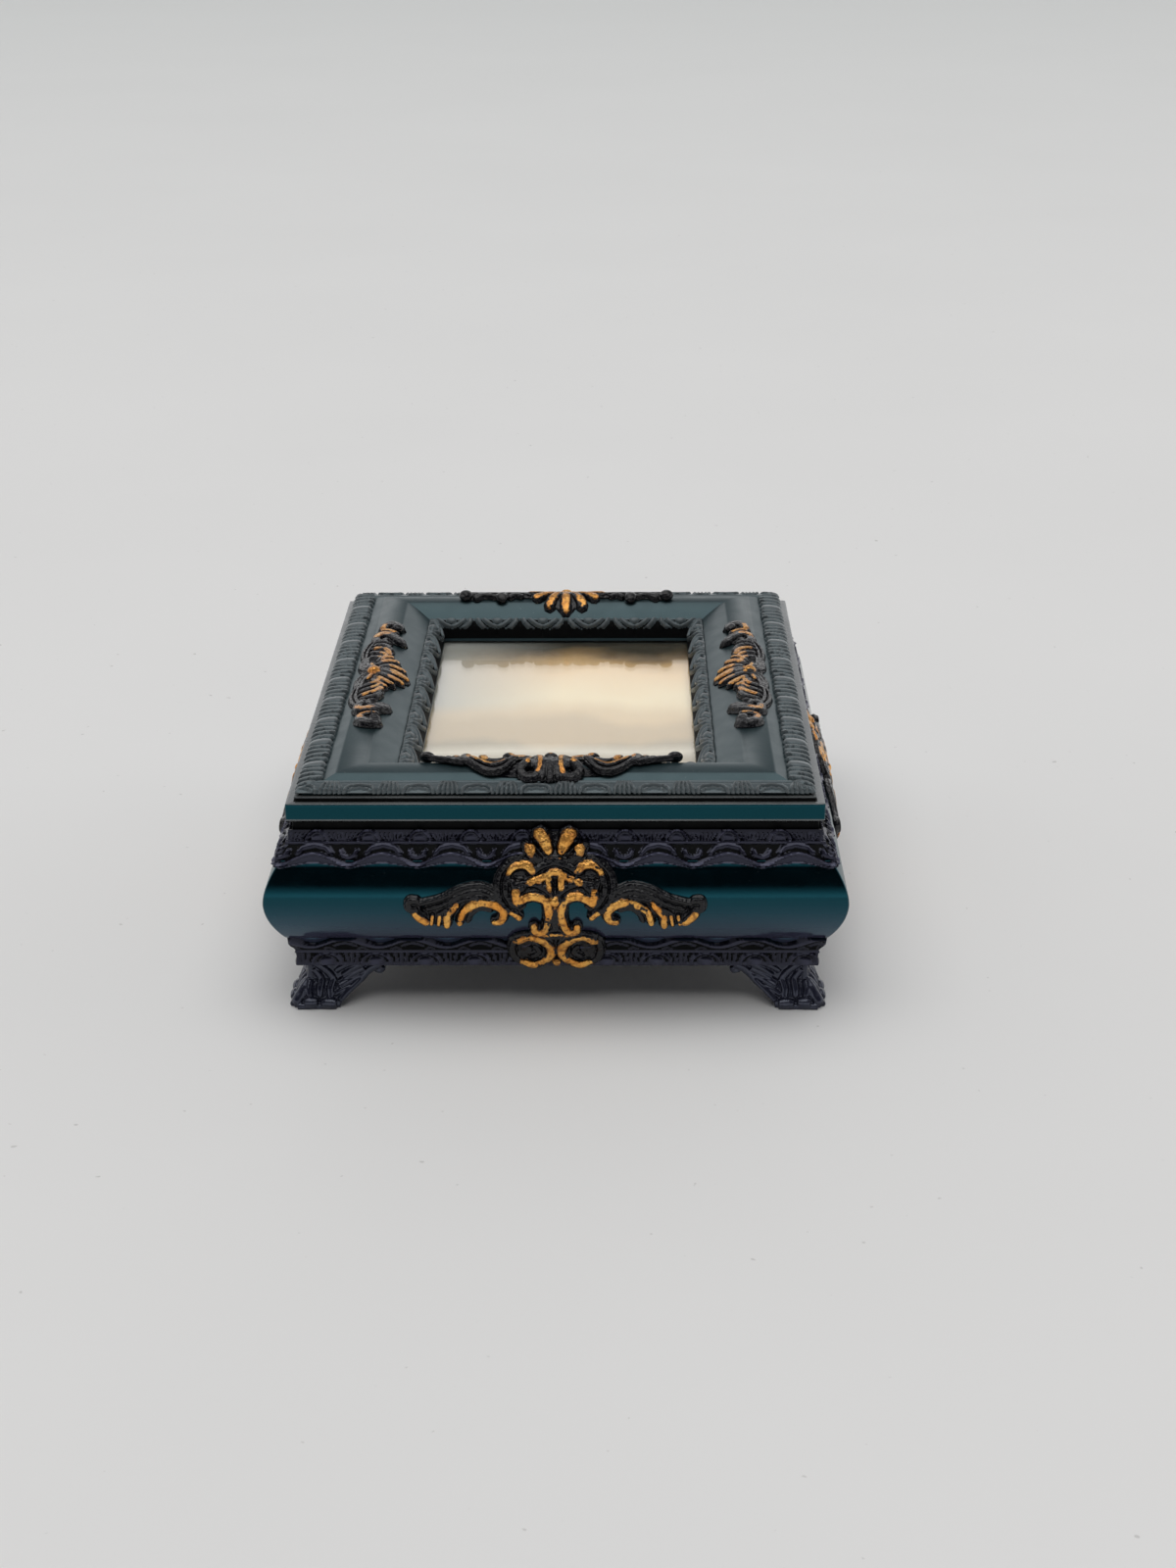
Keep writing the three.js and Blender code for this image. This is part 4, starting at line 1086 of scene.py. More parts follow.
# %% Strokes of the back casting
back_base = [
    even([(0, 6), (0, 12)], 7),
    even([(1, 6.4), (4.6, 8.4)], 5),
    even([(7, 8.8), (14, 8.4), (23, 9.8)], 3.4),
]
back_strokes = [
    ([(0, 5.6), (0, 9), (0, 14.2)], [1.3, 2.0, 2.7], WHOLE),
    ([(0.5, 5.6), (2.0, 9), (3.9, 13.3)], [1.2, 1.9, 2.5], WHOLE),
    ([(0.9, 5.5), (3.6, 8), (6.8, 11.0)], [1.2, 1.8, 2.3], WHOLE),
    ([(1.2, 5.2), (4.6, 6.6), (8.3, 7.9)], [1.1, 1.6, 2.0], WHOLE),
    *ribbed([(8, 9.4), (11, 7.2), (14.4, 8), (15.2, 10.8)], [1.7, 2.2, 2.4, 2.2]),
    ([(10.4, 10.2), (12, 9.4), (13, 10.6)], [1.2, 1.4, 1.2], None),
    *ribbed([(13.6, 7), (18.6, 7.2), (22.6, 9.4)], [1.8, 2.2, 2.4]),
    ([(16.4, 10.4), (19, 9.6), (21, 11)], [1.3, 1.6, 1.6], None),
]
back_dots = [(0, 5.4, 1.5)]
back_dark_dots = [(15.0, 11.2, 1.4), (23.4, 10.2, 1.6)]
print("back casting:", len(back_strokes), "strokes in one half")

# %% Strokes of the side castings
side_base = [
    even([(0, 10.4), (0, 17.6)], 5),
    even([(2, 10.4), (5, 14.4)], 5),
    even([(6, 11), (12, 11.4), (16, 12)], 4.2),
    even([(17, 12.4), (23, 13), (28, 12.8)], 3.6),
]
side_strokes = [
    ([(0, 12.4), (0.5, 15.2), (0, 18.6)], [1.6, 2.4, 1.8], (0.55, 1, 0.8)),
    ([(1.8, 13.0), (3.0, 15.4), (3.2, 17.8)], [1.6, 2.3, 1.7], (0.5, 1, 0.7)),
    ([(3.6, 12.4), (5.4, 14.2), (6.4, 16.2)], [1.5, 2.2, 1.8], (0.3, 0.9, 0.7)),
    ([(5.2, 12.0), (7.2, 13.2), (8.4, 14.8)], [1.2, 1.8, 1.6], (0.4, 1, 0.6)),
    *ribbed([(0, 12.8), (2.2, 9.9), (5.4, 9.0), (8.8, 9.2)], [2.0, 2.4, 2.4, 1.6], (-0.36, 0, 0.36)),
    ([(1.0, 12.8), (2.4, 11.4), (4.4, 10.8)], [0.9, 1.2, 0.9], (0, 1, 0.7)),
    ([(5.6, 13.2), (7.4, 12.4), (8.6, 10.2)], [1.3, 1.6, 1.1], (0.1, 0.6, 0.7)),
    ([(7.6, 13.8), (9.8, 12.8), (11.4, 10)], [1.3, 1.6, 1.1], (0.1, 0.6, 0.6)),
    ([(9.6, 14.2), (12.2, 13.2), (13.8, 10.2)], [1.4, 1.9, 1.3], (0.1, 0.8, 0.7)),
    ([(12.4, 14.4), (14.8, 13.0), (15.8, 10.6)], [1.2, 1.6, 1.2], None),
    *ribbed([(9, 8.7), (12.8, 8.5), (16.4, 9.2), (18.6, 10.2)], [1.4, 1.8, 1.8, 1.6]),
    ([(17.2, 11.2), (19.6, 10.2), (21.8, 11.0), (21.4, 13.2), (18.8, 16)], [1.8, 2.2, 2.6, 3.0, 2.8],
     (0.35, 0.72, 0.5)),
    ([(16.6, 13.4), (17.6, 12.2), (19.2, 12.6)], [1.2, 1.4, 1.2], None),
    ([(23.4, 14.6), (24.2, 12.6), (24.8, 11.2)], [1.4, 1.7, 1.2], (0.2, 0.9, 0.6)),
    ([(25.6, 11.2), (27.4, 11.6), (28.6, 13.2), (27.4, 15)], [2.0, 2.6, 2.8, 2.6], (0, 0.3, 0.5)),
]
side_dots = [(0, 11.6, 1.4)]
side_dark_dots = [(26.4, 14.6, 1.3)]
print("side castings:", len(side_strokes), "strokes in one half")

# %% Boards of the lid castings
boards = {
    "front": casting_board("front_board", front_base, front_strokes, front_dots, front_dark_dots),
    "back": casting_board("back_board", back_base, back_strokes, back_dots, back_dark_dots),
    "side": casting_board("side_board", side_base, side_strokes, side_dots, side_dark_dots),
}

# %% [markdown]
# The frame's section gives the height under each point of a casting. On the front and back members the
# same section is narrower, by the ratio that shaped the frame. The front casting is a stiff plate in the
# photograph: it bridges the hollow between the mouldings, so it has a floor that it doesn't sink below.

# %% Laying the castings on the frame
outline = [(0, 44.4), (1.8, 44.4), (1.9, 45.3), (2.88, 46.55), (4.25, 46.9), (5.72, 46.8)]
outline += [(inset, cushion_height(inset)) for inset in cushion_insets]
outline += [(21.5, 45.7), (22.7, 44.7), (24.2, 41.8)]
outline_insets, outline_heights = zip(*outline)
FRONT_SHIFT = -1.0  # the front casting is fixed slightly off centre
FRONT_RISE = 0.4
FRONT_FLOOR = 46.4
CASTING_LIFT = 0.1
CASTING_RELIEF = 0.9


def on_frame(side):
    ratio = END_RATIO if side in ENDS else 1
    edge = HALF_DEPTH if side in ENDS else HALF_WIDTH

    def place(flat):
        x, inset, proud = flat.T
        height = np.interp(inset / ratio, outline_insets, outline_heights)
        if side == "front":
            x = x + FRONT_SHIFT
            height = np.maximum(height + FRONT_RISE, FRONT_FLOOR)
        return turned(side, x, edge - inset, height + proud * CASTING_RELIEF + CASTING_LIFT)

    return place


lid_castings = []
for side in SIDES:
    board = boards.get(side, boards["side"])
    lid_castings.append(laid(board, "lid_casting_" + side, on_frame(side), "lid", "lid_ornament_" + side))
for board in boards.values():
    bpy.data.objects.remove(board)

# %% [markdown]
# ## The feet
# Each foot is a bracket of leaves that runs down from both sides into a splayed toe at the corner. One
# foot is made at the front right corner: a core raised level by level, with bevelled curves as its leaf
# ribs on both outer faces, all remeshed into one skin. The other three are mirrored copies.

# %% Core of one foot
FOOT_TOP = 9.3
foot_sections = [  # height, how far out, width of a wing, thickness
    (0.0, 0.5, 9.1, 4.6), (0.5, 0.7, 9.3, 4.6), (1.3, 0.5, 9.2, 4.4), (2.2, -0.1, 9.3, 4.0),
    (3.6, -0.8, 9.4, 3.4), (5.2, -2.1, 9.5, 3.0), (6.8, -2.3, 10.7, 2.6), (8.0, -2.2, 12.1, 2.6),
    (FOOT_TOP, -2.1, 14.0, 2.6),
]


def foot_ring(height, out, width, thickness):
    x, y = HALF_WIDTH + out, -(HALF_DEPTH + out)
    corners = [
        (0, 0), (0, width), (-thickness, width), (-thickness, thickness), (-width, thickness), (-width, 0),
    ]
    return [Vector((x + across, y + along, height)) * MM for across, along in corners]


core = bmesh.new()
loops = [[core.verts.new(point) for point in foot_ring(*section)] for section in foot_sections]
for lower, upper in zip(loops, loops[1:]):
    for i in range(6):
        core.faces.new([lower[i], lower[(i + 1) % 6], upper[(i + 1) % 6], upper[i]])
core.faces.new(loops[0][::-1])
core.faces.new(loops[-1])
core_mesh = bpy.data.meshes.new("foot_core")
core.to_mesh(core_mesh)
core.free()
foot_core = bpy.data.objects.new("foot_core", core_mesh)
bpy.context.collection.objects.link(foot_core)
print("levels of the foot's core:", len(loops))

# %% Leaf ribs and toe of the foot
foot_ribs = [  # way from the corner, height, width
    [(14.6, 8.6, 1.5), (13.2, 8.0, 1.7), (11.6, 6.6, 1.5), (10.4, 4.8, 1.4), (9.4, 2.8, 1.3),
     (8.8, 1.6, 1.2)],
    [(14.9, 8.0, 1.3), (14.5, 7.1, 1.3), (13.4, 7.2, 1.1)],
    [(12.4, 9.2, 1.2), (10.4, 8.3, 1.3), (8.2, 7.0, 1.2), (6.8, 6.0, 1.0)],
    [(10.4, 9.3, 1.2), (8.4, 8.7, 1.3), (6.4, 7.6, 1.2), (5.4, 6.8, 1.0)],
    [(11.2, 7.6, 1.2), (9.4, 6.6, 1.3), (7.6, 5.4, 1.2), (6.4, 4.6, 1.0)],
    [(10.4, 6.0, 1.1), (8.6, 5.0, 1.2), (7.2, 4.0, 1.0)],
    [(9.6, 4.2, 1.1), (8.2, 3.4, 1.1), (7.2, 2.6, 0.9)],
    [(1.2, 9.2, 1.6), (3.0, 7.6, 1.6), (4.8, 5.6, 1.5), (5.8, 3.6, 1.4), (6.6, 2.2, 1.3)],
    [(1.0, 7.4, 1.2), (2.6, 5.4, 1.4), (3.8, 3.4, 1.4), (4.4, 2.2, 1.2)],
    [(0.6, 5.0, 1.2), (1.4, 3.6, 1.4), (2.2, 2.4, 1.5)],
    [(8.4, 1.0, 2.0), (6.9, 1.2, 2.4), (5.6, 0.9, 1.8)],
    [(4.6, 1.3, 1.8), (3.4, 1.3, 2.4), (2.2, 1.1, 2.0)],
    [(8.6, 0.4, 1.2), (6.0, 0.4, 1.3), (3.4, 0.4, 1.4), (0.8, 0.5, 1.6)],
]
print("ribs on each face:", len(foot_ribs))

# %% One skin for the foot
CORNER_RIB = [(9.0, 1.5), (7.0, 1.6), (5.0, 1.6), (3.4, 1.9), (1.9, 2.4), (0.9, 2.2)]  # height, width
CORNER_INSET = 0.45
RIB_PROUD = 0.1
FOOT_VOXEL = 0.15
FOOT_KEEP = 0.6
SOLE_CUT = 0.02
section_of_foot = np.array(foot_sections)


def foot_line(way, height, width):
    line = smooth_path(list(zip(way, height)), width, 4)
    return (*line.T, np.interp(line[:, 1], section_of_foot[:, 0], section_of_foot[:, 1]))


rib_curve = brush("foot_ribs")
for rib in foot_ribs:
    way, height, width, out = foot_line(*zip(*rib))
    draw(rib_curve, HALF_WIDTH + out - way, -(HALF_DEPTH + out + RIB_PROUD), height, width)
    draw(rib_curve, HALF_WIDTH + out + RIB_PROUD, -(HALF_DEPTH + out - way), height, width)
way, height, width, out = foot_line([0] * len(CORNER_RIB), *zip(*CORNER_RIB))
out = out - CORNER_INSET
draw(rib_curve, HALF_WIDTH + out, -(HALF_DEPTH + out), height, width)
foot = one_skin([foot_core, mesh_of(rib_curve)], "foot_pattern", FOOT_VOXEL, FOOT_KEEP)
cut_flat(foot, SOLE_CUT)
cut_flat(foot, FOOT_TOP, above=False)
points = points_of(foot)
points[points[:, 2] < SOLE_CUT + 0.01, 2] = 0
move_points(foot, points)
print("foot faces:", len(foot.data.polygons))

# %% Four feet
for end, y in (("front", 1), ("back", -1)):
    for hand, x in (("right", 1), ("left", -1)):
        piece = copied(foot, f"foot_cast_{end}_{hand}")
        move_points(piece, points * (x, y, 1))
        finish_piece(piece, "box", [f"foot_{end}_{hand}"], angle=60)
bpy.data.objects.remove(foot)

# %% [markdown]
# ## Finishes
# Every finish is built from nodes on Object coordinates, so a pattern stays on its piece when the lid
# turns. Two shared groups do work that several finishes need: one gives the slow, cloudy changes of a
# cast and hand-rubbed surface, and one gives the specks of dust that settle on dark gloss. They put out
# only values; each material keeps its own shader.

# %% Adding and feeding nodes
def feed(tree, node, inputs):
    for key, value in inputs.items():
        if isinstance(value, bpy.types.NodeSocket):
            tree.links.new(value, node.inputs[key])
        elif isinstance(value, (tuple, list)):
            node.inputs[key].default_value = (*value, 1)
        else:
            node.inputs[key].default_value = value


def add(tree, kind, inputs=None, **settings):
    node = tree.nodes.new("ShaderNode" + kind)
    for key, value in settings.items():
        setattr(node, key, value)
    feed(tree, node, inputs or {})
    return node


def noise(tree, place, scale, detail):
    return add(tree, "TexNoise", {"Vector": place, "Scale": scale, "Detail": detail}).outputs[0]


def math_of(tree, operation, *values):
    return add(tree, "Math", dict(enumerate(values)), operation=operation).outputs[0]


def facing_up(tree):
    return add(tree, "SeparateXYZ", {0: add(tree, "NewGeometry").outputs["Normal"]}).outputs["Z"]


# %% Colours and values
def ramp(tree, factor, stops):
    node = add(tree, "ValToRGB", {0: factor})
    elements = node.color_ramp.elements
    while len(elements) < len(stops):
        elements.new(0.5)
    for element, (place, colour) in zip(elements, stops):
        element.position = place
        element.color = (*colour, 1)
    return node.outputs["Color"]


def spread(tree, value, low, high, to_low=0.0, to_high=1.0):
    inputs = {"Value": value, "From Min": low, "From Max": high, "To Min": to_low, "To Max": to_high}
    return add(tree, "MapRange", inputs, clamp=True).outputs["Result"]


def blended(tree, factor, first, second):
    return add(tree, "Mix", {0: factor, 6: first, 7: second}, data_type="RGBA").outputs[2]


# %% Materials
def material(name):
    made = bpy.data.materials.new(name)
    made.use_nodes = True
    tree = made.node_tree
    tree.nodes.clear()
    shader = add(tree, "BsdfPrincipled")
    add(tree, "OutputMaterial", {"Surface": shader.outputs["BSDF"]})
    return made, tree, shader, add(tree, "TexCoord").outputs["Object"]


def bumped(tree, shader, height, strength, distance):
    node = add(tree, "Bump", {"Strength": strength, "Distance": distance * MM, "Height": height})
    feed(tree, shader, {"Normal": node.outputs["Normal"]})


def dress(finish, *pieces):
    for piece in pieces:
        piece.data.materials.clear()
        piece.data.materials.append(finish)
    print(finish.name, "on", len(pieces), "pieces")


# %% Shared groups
def value_group(name, outputs):
    group = bpy.data.node_groups.new(name, "ShaderNodeTree")
    group.interface.new_socket("Place", in_out="INPUT", socket_type="NodeSocketVector")
    for output in outputs:
        group.interface.new_socket(output, in_out="OUTPUT", socket_type="NodeSocketFloat")
    start = group.nodes.new("NodeGroupInput")
    end = group.nodes.new("NodeGroupOutput")
    for output, (scale, detail, low, high) in outputs.items():
        feed(group, end, {output: spread(group, noise(group, start.outputs[0], scale, detail), low, high)})
    return group


def shared(tree, group, place):
    return add(tree, "Group", {0: place}, node_tree=group).outputs


cast_clouds = value_group("cast_clouds", {
    "Slow": (45, 4, 0.35, 0.65), "Middle": (260, 5, 0.3, 0.7), "Fine": (1500, 3, 0.3, 0.7),
})
settled_dust = value_group("settled_dust", {"Specks": (2600, 1, 0.74, 0.82)})

# %% [markdown]
# ## Resin
# The box is cast in dark resin and finished in several tones. The belly is nearly black and glossy, with a
# violet grey painted reflection of the floor on its lower part, and the edge of the lid is a deep teal. The
# mouldings of the frame are a lighter slate, and the ledge and the fillet beside them get a grey painted
# highlight. The carving of the body and the frame is painted with light and shade: its hollows get painted
# shade, its slopes a little painted highlight and its crests a pale one. The base colours stay dark, because
# most of the colour comes from what the gloss reflects, and the roughness changes slowly over the surface.

# %% One resin
DUST_TONE = (0.5, 0.5, 0.48)
DUST_SHARE = 0.22
SLOPE_HIGHLIGHT_SHARE = 0.35  # share of the crests' painted highlight that the slopes get
SLOPE_HIGHLIGHT_HEIGHTS = (0.1, 0.4)  # heights of carving over which the slopes' painted highlight comes in
# over these heights the crests get the full painted highlight
CREST_HIGHLIGHT_HEIGHTS = (0.45, 0.75)
REFLECTION_HEIGHTS = (0.0275, 0.019)  # heights in metres over which the lower belly turns to its painted reflection of the pale floor


def resin(name, dark, light, rough, specular, tint, bump_strength=0.25, crest=None, painted_reflection=None):
    made, tree, shader, place = material(name)
    clouds = shared(tree, cast_clouds, place)
    base = blended(tree, clouds["Slow"], dark, light)
    # painted highlight: the carving gets paler the higher it stands, from the slopes up to the crests
    if crest:
        carved = add(tree, "Attribute", attribute_name="carving").outputs["Fac"]
        slope = [SLOPE_HIGHLIGHT_SHARE * value for value in crest]
        base = blended(tree, spread(tree, carved, *SLOPE_HIGHLIGHT_HEIGHTS), base, slope)
        base = blended(tree, spread(tree, carved, *CREST_HIGHLIGHT_HEIGHTS), base, crest)
    # painted reflection of the pale floor: the belly turns violet grey from 27.5 mm down to 19 mm
    if painted_reflection:
        height = add(tree, "SeparateXYZ", {0: place}).outputs["Z"]
        base = blended(tree, spread(tree, height, *REFLECTION_HEIGHTS), base, painted_reflection)
    lying = spread(tree, facing_up(tree), 0.3, 1.0)
    specks = math_of(tree, "MULTIPLY", shared(tree, settled_dust, place)["Specks"], lying)
    specks = math_of(tree, "MULTIPLY", specks, DUST_SHARE)
    feed(tree, shader, {
        "Base Color": blended(tree, specks, base, DUST_TONE),
        "Roughness": spread(tree, clouds["Middle"], 0, 1, *rough),
        "Specular IOR Level": specular,
        "Specular Tint": tint,
    })
    bumped(tree, shader, clouds["Fine"], bump_strength, 0.02)
    return made


# %% The tones of resin
TEAL = (0.10, 0.66, 0.85)
GREY_TEAL = (0.58, 0.86, 0.94)
# the lower belly carries a painted reflection of the floor
body_resin = resin(
    "body_resin", (0.0006, 0.0022, 0.003), (0.001, 0.0035, 0.0045), (0.1, 0.18), 1.0, TEAL, 0.12,
    painted_reflection=(0.028, 0.026, 0.048),
)
lid_resin = resin(
    "lid_resin", (0.0008, 0.006, 0.008), (0.001, 0.008, 0.011), (0.12, 0.2), 0.9, TEAL, 0.12
)
cushion_resin = resin(
    "cushion_resin", (0.005, 0.012, 0.014), (0.008, 0.017, 0.019), (0.34, 0.42), 0.85, GREY_TEAL, 0.3
)
# crest: the pale painted highlight on the crests of the body's carving
carving_resin = resin(
    "carving_resin", (0.0006, 0.0006, 0.0015), (0.0015, 0.0015, 0.003), (0.16, 0.24), 0.45,
    (0.72, 0.75, 1), 0.4, crest=(0.052, 0.053, 0.085),
)
foot_resin = resin(
    "foot_resin", (0.008, 0.009, 0.017), (0.016, 0.017, 0.030), (0.16, 0.24), 0.7, (0.76, 0.82, 1), 0.4
)
# crest: the pale painted highlight on the ribs of the frame's mouldings
moulding_resin = resin(
    "moulding_resin", (0.066, 0.082, 0.088), (0.086, 0.104, 0.110), (0.26, 0.36), 0.5,
    (0.72, 0.9, 0.97), 0.4, crest=(0.27, 0.30, 0.31),
)
# painted highlight: a pale grey for the ledge, the fillet and the lower edge of the lid
edge_resin = resin(
    "edge_resin", (0.09, 0.097, 0.098), (0.13, 0.138, 0.136), (0.22, 0.34), 1.0, (0.9, 0.95, 1), 0.3
)
shadow_resin = resin(
    "shadow_resin", (0.0008, 0.001, 0.0012), (0.0015, 0.002, 0.0022), (0.55, 0.7), 0.1, (1, 1, 1)
)

# %% Resin on the body and the lid
SEAM_FOOT = 38.6  # above it the body is in the seam under the lid
WELL_MARGIN = 1.005
LEDGE_INSETS = (0.05, 1.55)
LEDGE_RISES = (-0.06, 0.1)
FILLET_RISE = 0.65
FILLET_INSET = 2.3
LOW_EDGE = 0.5
dress(body_resin, body_shell)
body_shell.data.materials.append(shadow_resin)
for face in body_shell.data.polygons:
    centre = face.center / MM
    in_well = max(abs(centre.x) / WELL_HALF[0], abs(centre.y) / WELL_HALF[1]) < WELL_MARGIN
    face.material_index = int(centre.z > SEAM_FOOT or in_well)
dress(lid_resin, lid_tray)
lid_tray.data.materials.append(edge_resin)
lid_tray.data.materials.append(shadow_resin)
# the ledge, the fillet and the lower edge get the painted highlight; the groove and all inside it get painted
# shade
for face in lid_tray.data.polygons:
    centre = face.center / MM
    inset = min(HALF_WIDTH - abs(centre.x), (HALF_DEPTH - abs(centre.y)) / END_RATIO)
    on_low_edge = LID_BOTTOM < centre.z < LID_BOTTOM + LOW_EDGE
    level = LEDGE_TOP + LEDGE_RISES[0] < centre.z < LEDGE_TOP + LEDGE_RISES[1]
    on_ledge = level and LEDGE_INSETS[0] < inset < LEDGE_INSETS[1]
    on_fillet = centre.z > LEDGE_TOP + FILLET_RISE and inset < FILLET_INSET
    if on_ledge or on_fillet or on_low_edge:
        face.material_index = 1
    elif inset > LEDGE_INSETS[1]:
        face.material_index = 2

# %% Resin on the carving, the cushion and the feet
BORDER_HOLLOW = 0.06
MOULDING_HOLLOW = -0.1
dress(cushion_resin, frame_cushion)
dress(carving_resin, upper_border, lower_border)
dress(moulding_resin, outer_moulding, inner_moulding)
# faces in the hollows of the carving get shadow_resin: painted shade
for piece in (upper_border, lower_border, outer_moulding, inner_moulding):
    hollow = BORDER_HOLLOW if piece in (upper_border, lower_border) else MOULDING_HOLLOW
    piece.data.materials.append(shadow_resin)
    carved = piece.data.attributes["carving"].data
    for face in piece.data.polygons:
        face.material_index = int(max(carved[vertex].value for vertex in face.vertices) < hollow)
dress(foot_resin, *(piece for piece in bpy.data.objects if piece.name.startswith("foot_cast_")))

# %% [markdown]
# ## Gilding on black
# The castings are black resin with gold brushed over their crests. The attribute that was stored on the
# board says how near each point is to a gold stroke and how high it stands. Noise breaks its edge up, as
# a dry brush does. The gold changes from orange to yellow, with darker streaks. Painted shade darkens it
# towards the edge of each stroke, and it is also darker on faces that look up.

# %% Gilded castings
def gilded_finish():
    made, tree, shader, place = material("brushed_gilding")
    clouds = shared(tree, cast_clouds, place)
    gild = add(tree, "Attribute", attribute_name="gilding").outputs["Fac"]
    streaks = noise(tree, place, 1100, 3)
    patches = noise(tree, place, 330, 2)
    broken = math_of(tree, "ADD", gild, spread(tree, streaks, 0.3, 0.7, -0.36, 0.3))
    broken = math_of(tree, "ADD", broken, spread(tree, patches, 0.34, 0.58, -0.6, 0.0))
    mask = spread(tree, broken, 0.30, 0.46)
    black = blended(tree, clouds["Middle"], (0.0008, 0.0008, 0.0016), (0.003, 0.003, 0.005))
    gold = blended(tree, clouds["Middle"], (0.80, 0.30, 0.04), (1.0, 0.56, 0.14))
    # painted shade towards the edge of each stroke, darker streaks, and darker gold on faces that look up
    for share, tone in (
        (spread(tree, gild, 0.4, 0.95, 0.85, 0.0), (0.20, 0.075, 0.02)),
        (spread(tree, streaks, 0.5, 0.64, 0.0, 0.75), (0.26, 0.10, 0.03)),
        (spread(tree, facing_up(tree), 0.3, 0.9, 0.0, 0.5), (0.34, 0.16, 0.05)),
    ):
        gold = blended(tree, share, gold, tone)
    feed(tree, shader, {
        "Base Color": blended(tree, mask, black, gold),
        "Metallic": spread(tree, mask, 0, 1, 0, 0.7),
        "Roughness": spread(tree, mask, 0, 1, 0.14, 0.22),
        "Specular IOR Level": 0.4,
    })
    bumped(tree, shader, noise(tree, place, 900, 3), 1.0, 0.45)
    return made


dress(gilded_finish(), *cartouches, *lid_castings)

# %% [markdown]
# ## Velvet
# Short-pile velvet is dark where it is looked at straight on and paler at grazing angles, which the sheen
# of the shader gives. A fine noise makes the pile, and a slow one the places where it lies differently.

# %% Velvet
velvet, tree, shader, place = material("lining_velvet")
shade = spread(tree, noise(tree, place, 60, 3), 0.3, 0.7)
feed(tree, shader, {
    "Base Color": blended(tree, shade, (0.010, 0.008, 0.016), (0.022, 0.017, 0.032)),
    "Roughness": 0.95,
    "Specular IOR Level": 0.15,
    "Sheen Weight": 0.5,
    "Sheen Roughness": 0.4,
    "Sheen Tint": (0.55, 0.5, 0.75),
})
bumped(tree, shader, noise(tree, place, 4200, 2), 0.6, 0.12)
dress(velvet, floor_pad, lid_pad, *wall_linings)

# %% [markdown]
# ## The pane, the picture and its backing
# The pane is clear glass: the shader transmits light, and a shadow ray passes straight through, so the
# picture under it stays bright. The picture is a plain misty landscape of this lesson's own, in the
# warm creams and greys that such a print has: low hills, haze over them and a pale stretch of water.

# %% Glass
CLEAR = (0.98, 0.985, 0.98)
glass, tree, shader, place = material("pane_glass")
smears = spread(tree, noise(tree, place, 70, 4), 0.35, 0.75, 0.02, 0.07)
feed(tree, shader, {"Base Color": CLEAR, "Roughness": smears, "Transmission Weight": 1, "IOR": 1.46})
clear = add(tree, "BsdfTransparent", {"Color": CLEAR}).outputs[0]
shadow = add(tree, "LightPath").outputs["Is Shadow Ray"]
mixed = add(tree, "MixShader", {0: shadow, 1: shader.outputs["BSDF"], 2: clear})
feed(tree, tree.nodes["Material Output"], {"Surface": mixed.outputs[0]})
dress(glass, frame["nodes"]["glass_pane"])

# %% Picture of misty hills
picture, tree, shader, place = material("misty_picture")
axes = add(tree, "SeparateXYZ", {0: place}).outputs
across = spread(tree, axes["X"], -0.030, 0.030)
upward = spread(tree, axes["Y"], -0.041, 0.041)
haze = spread(tree, noise(tree, place, 38, 3), 0.3, 0.7, -0.06, 0.06)
# sky and hills of the print; towards the far edge the ramp darkens through brown to near black, painted shade
# under the frame
sky_and_edge_shade = ramp(tree, math_of(tree, "ADD", upward, haze), [
    (0.0, (0.50, 0.42, 0.30)), (0.30, (0.68, 0.52, 0.31)), (0.55, (0.82, 0.69, 0.45)),
    (0.74, (0.78, 0.57, 0.32)), (0.84, (0.55, 0.36, 0.16)), (0.90, (0.20, 0.13, 0.06)),
    (0.97, (0.03, 0.025, 0.015)),
])
colour = blended(tree, spread(tree, across, 0.02, 0.5, 0.92, 0.0), sky_and_edge_shade, (0.35, 0.36, 0.34))


def below_hill(level, swing, scale, seed):
    shift = add(tree, "CombineXYZ", {0: axes["X"], 1: seed}).outputs[0]
    height = spread(tree, noise(tree, shift, scale, 4), 0.25, 0.75, level - swing, level + swing)
    return math_of(tree, "SUBTRACT", height, upward)


for level, swing, scale, seed, tone, soft, strength in (
    (0.60, 0.10, 26, 3.1, (0.62, 0.46, 0.27), 0.08, 0.6),
    (0.45, 0.10, 34, 7.7, (0.46, 0.36, 0.23), 0.06, 0.6),
    (0.30, 0.08, 44, 1.9, (0.26, 0.24, 0.18), 0.05, 0.6),
    (0.12, 0.06, 60, 5.3, (0.12, 0.12, 0.09), 0.04, 0.7),
):
    mask = spread(tree, below_hill(level, swing, scale, seed), 0.0, soft, 0.0, strength)
    colour = blended(tree, mask, colour, tone)
near_water = math_of(tree, "ABSOLUTE", below_hill(0.22, 0.03, 18, 9.4))
colour = blended(tree, spread(tree, near_water, 0.0, 0.05, 0.5, 0.0), colour, (0.92, 0.88, 0.76))
grain = spread(tree, noise(tree, place, 5200, 1), 0.3, 0.7, 0.0, 0.06)
feed(tree, shader, {"Base Color": blended(tree, grain, colour, (0.3, 0.27, 0.2)), "Roughness": 0.4})
dress(picture, frame["nodes"]["picture_card"])

# %% [markdown]
# The backing is plain board with a short fibre. The hinges are stamped brass, with tarnish in patches
# and a roughness that follows it.

# %% Backing board and brass
backing, tree, shader, place = material("backing_card")
fibre = noise(tree, place, 1400, 6)
tone = blended(tree, spread(tree, fibre, 0.3, 0.7), (0.10, 0.075, 0.05), (0.18, 0.14, 0.10))
feed(tree, shader, {"Base Color": tone, "Roughness": 0.9})
bumped(tree, shader, fibre, 0.4, 0.05)
dress(backing, frame["nodes"]["backing_board"])

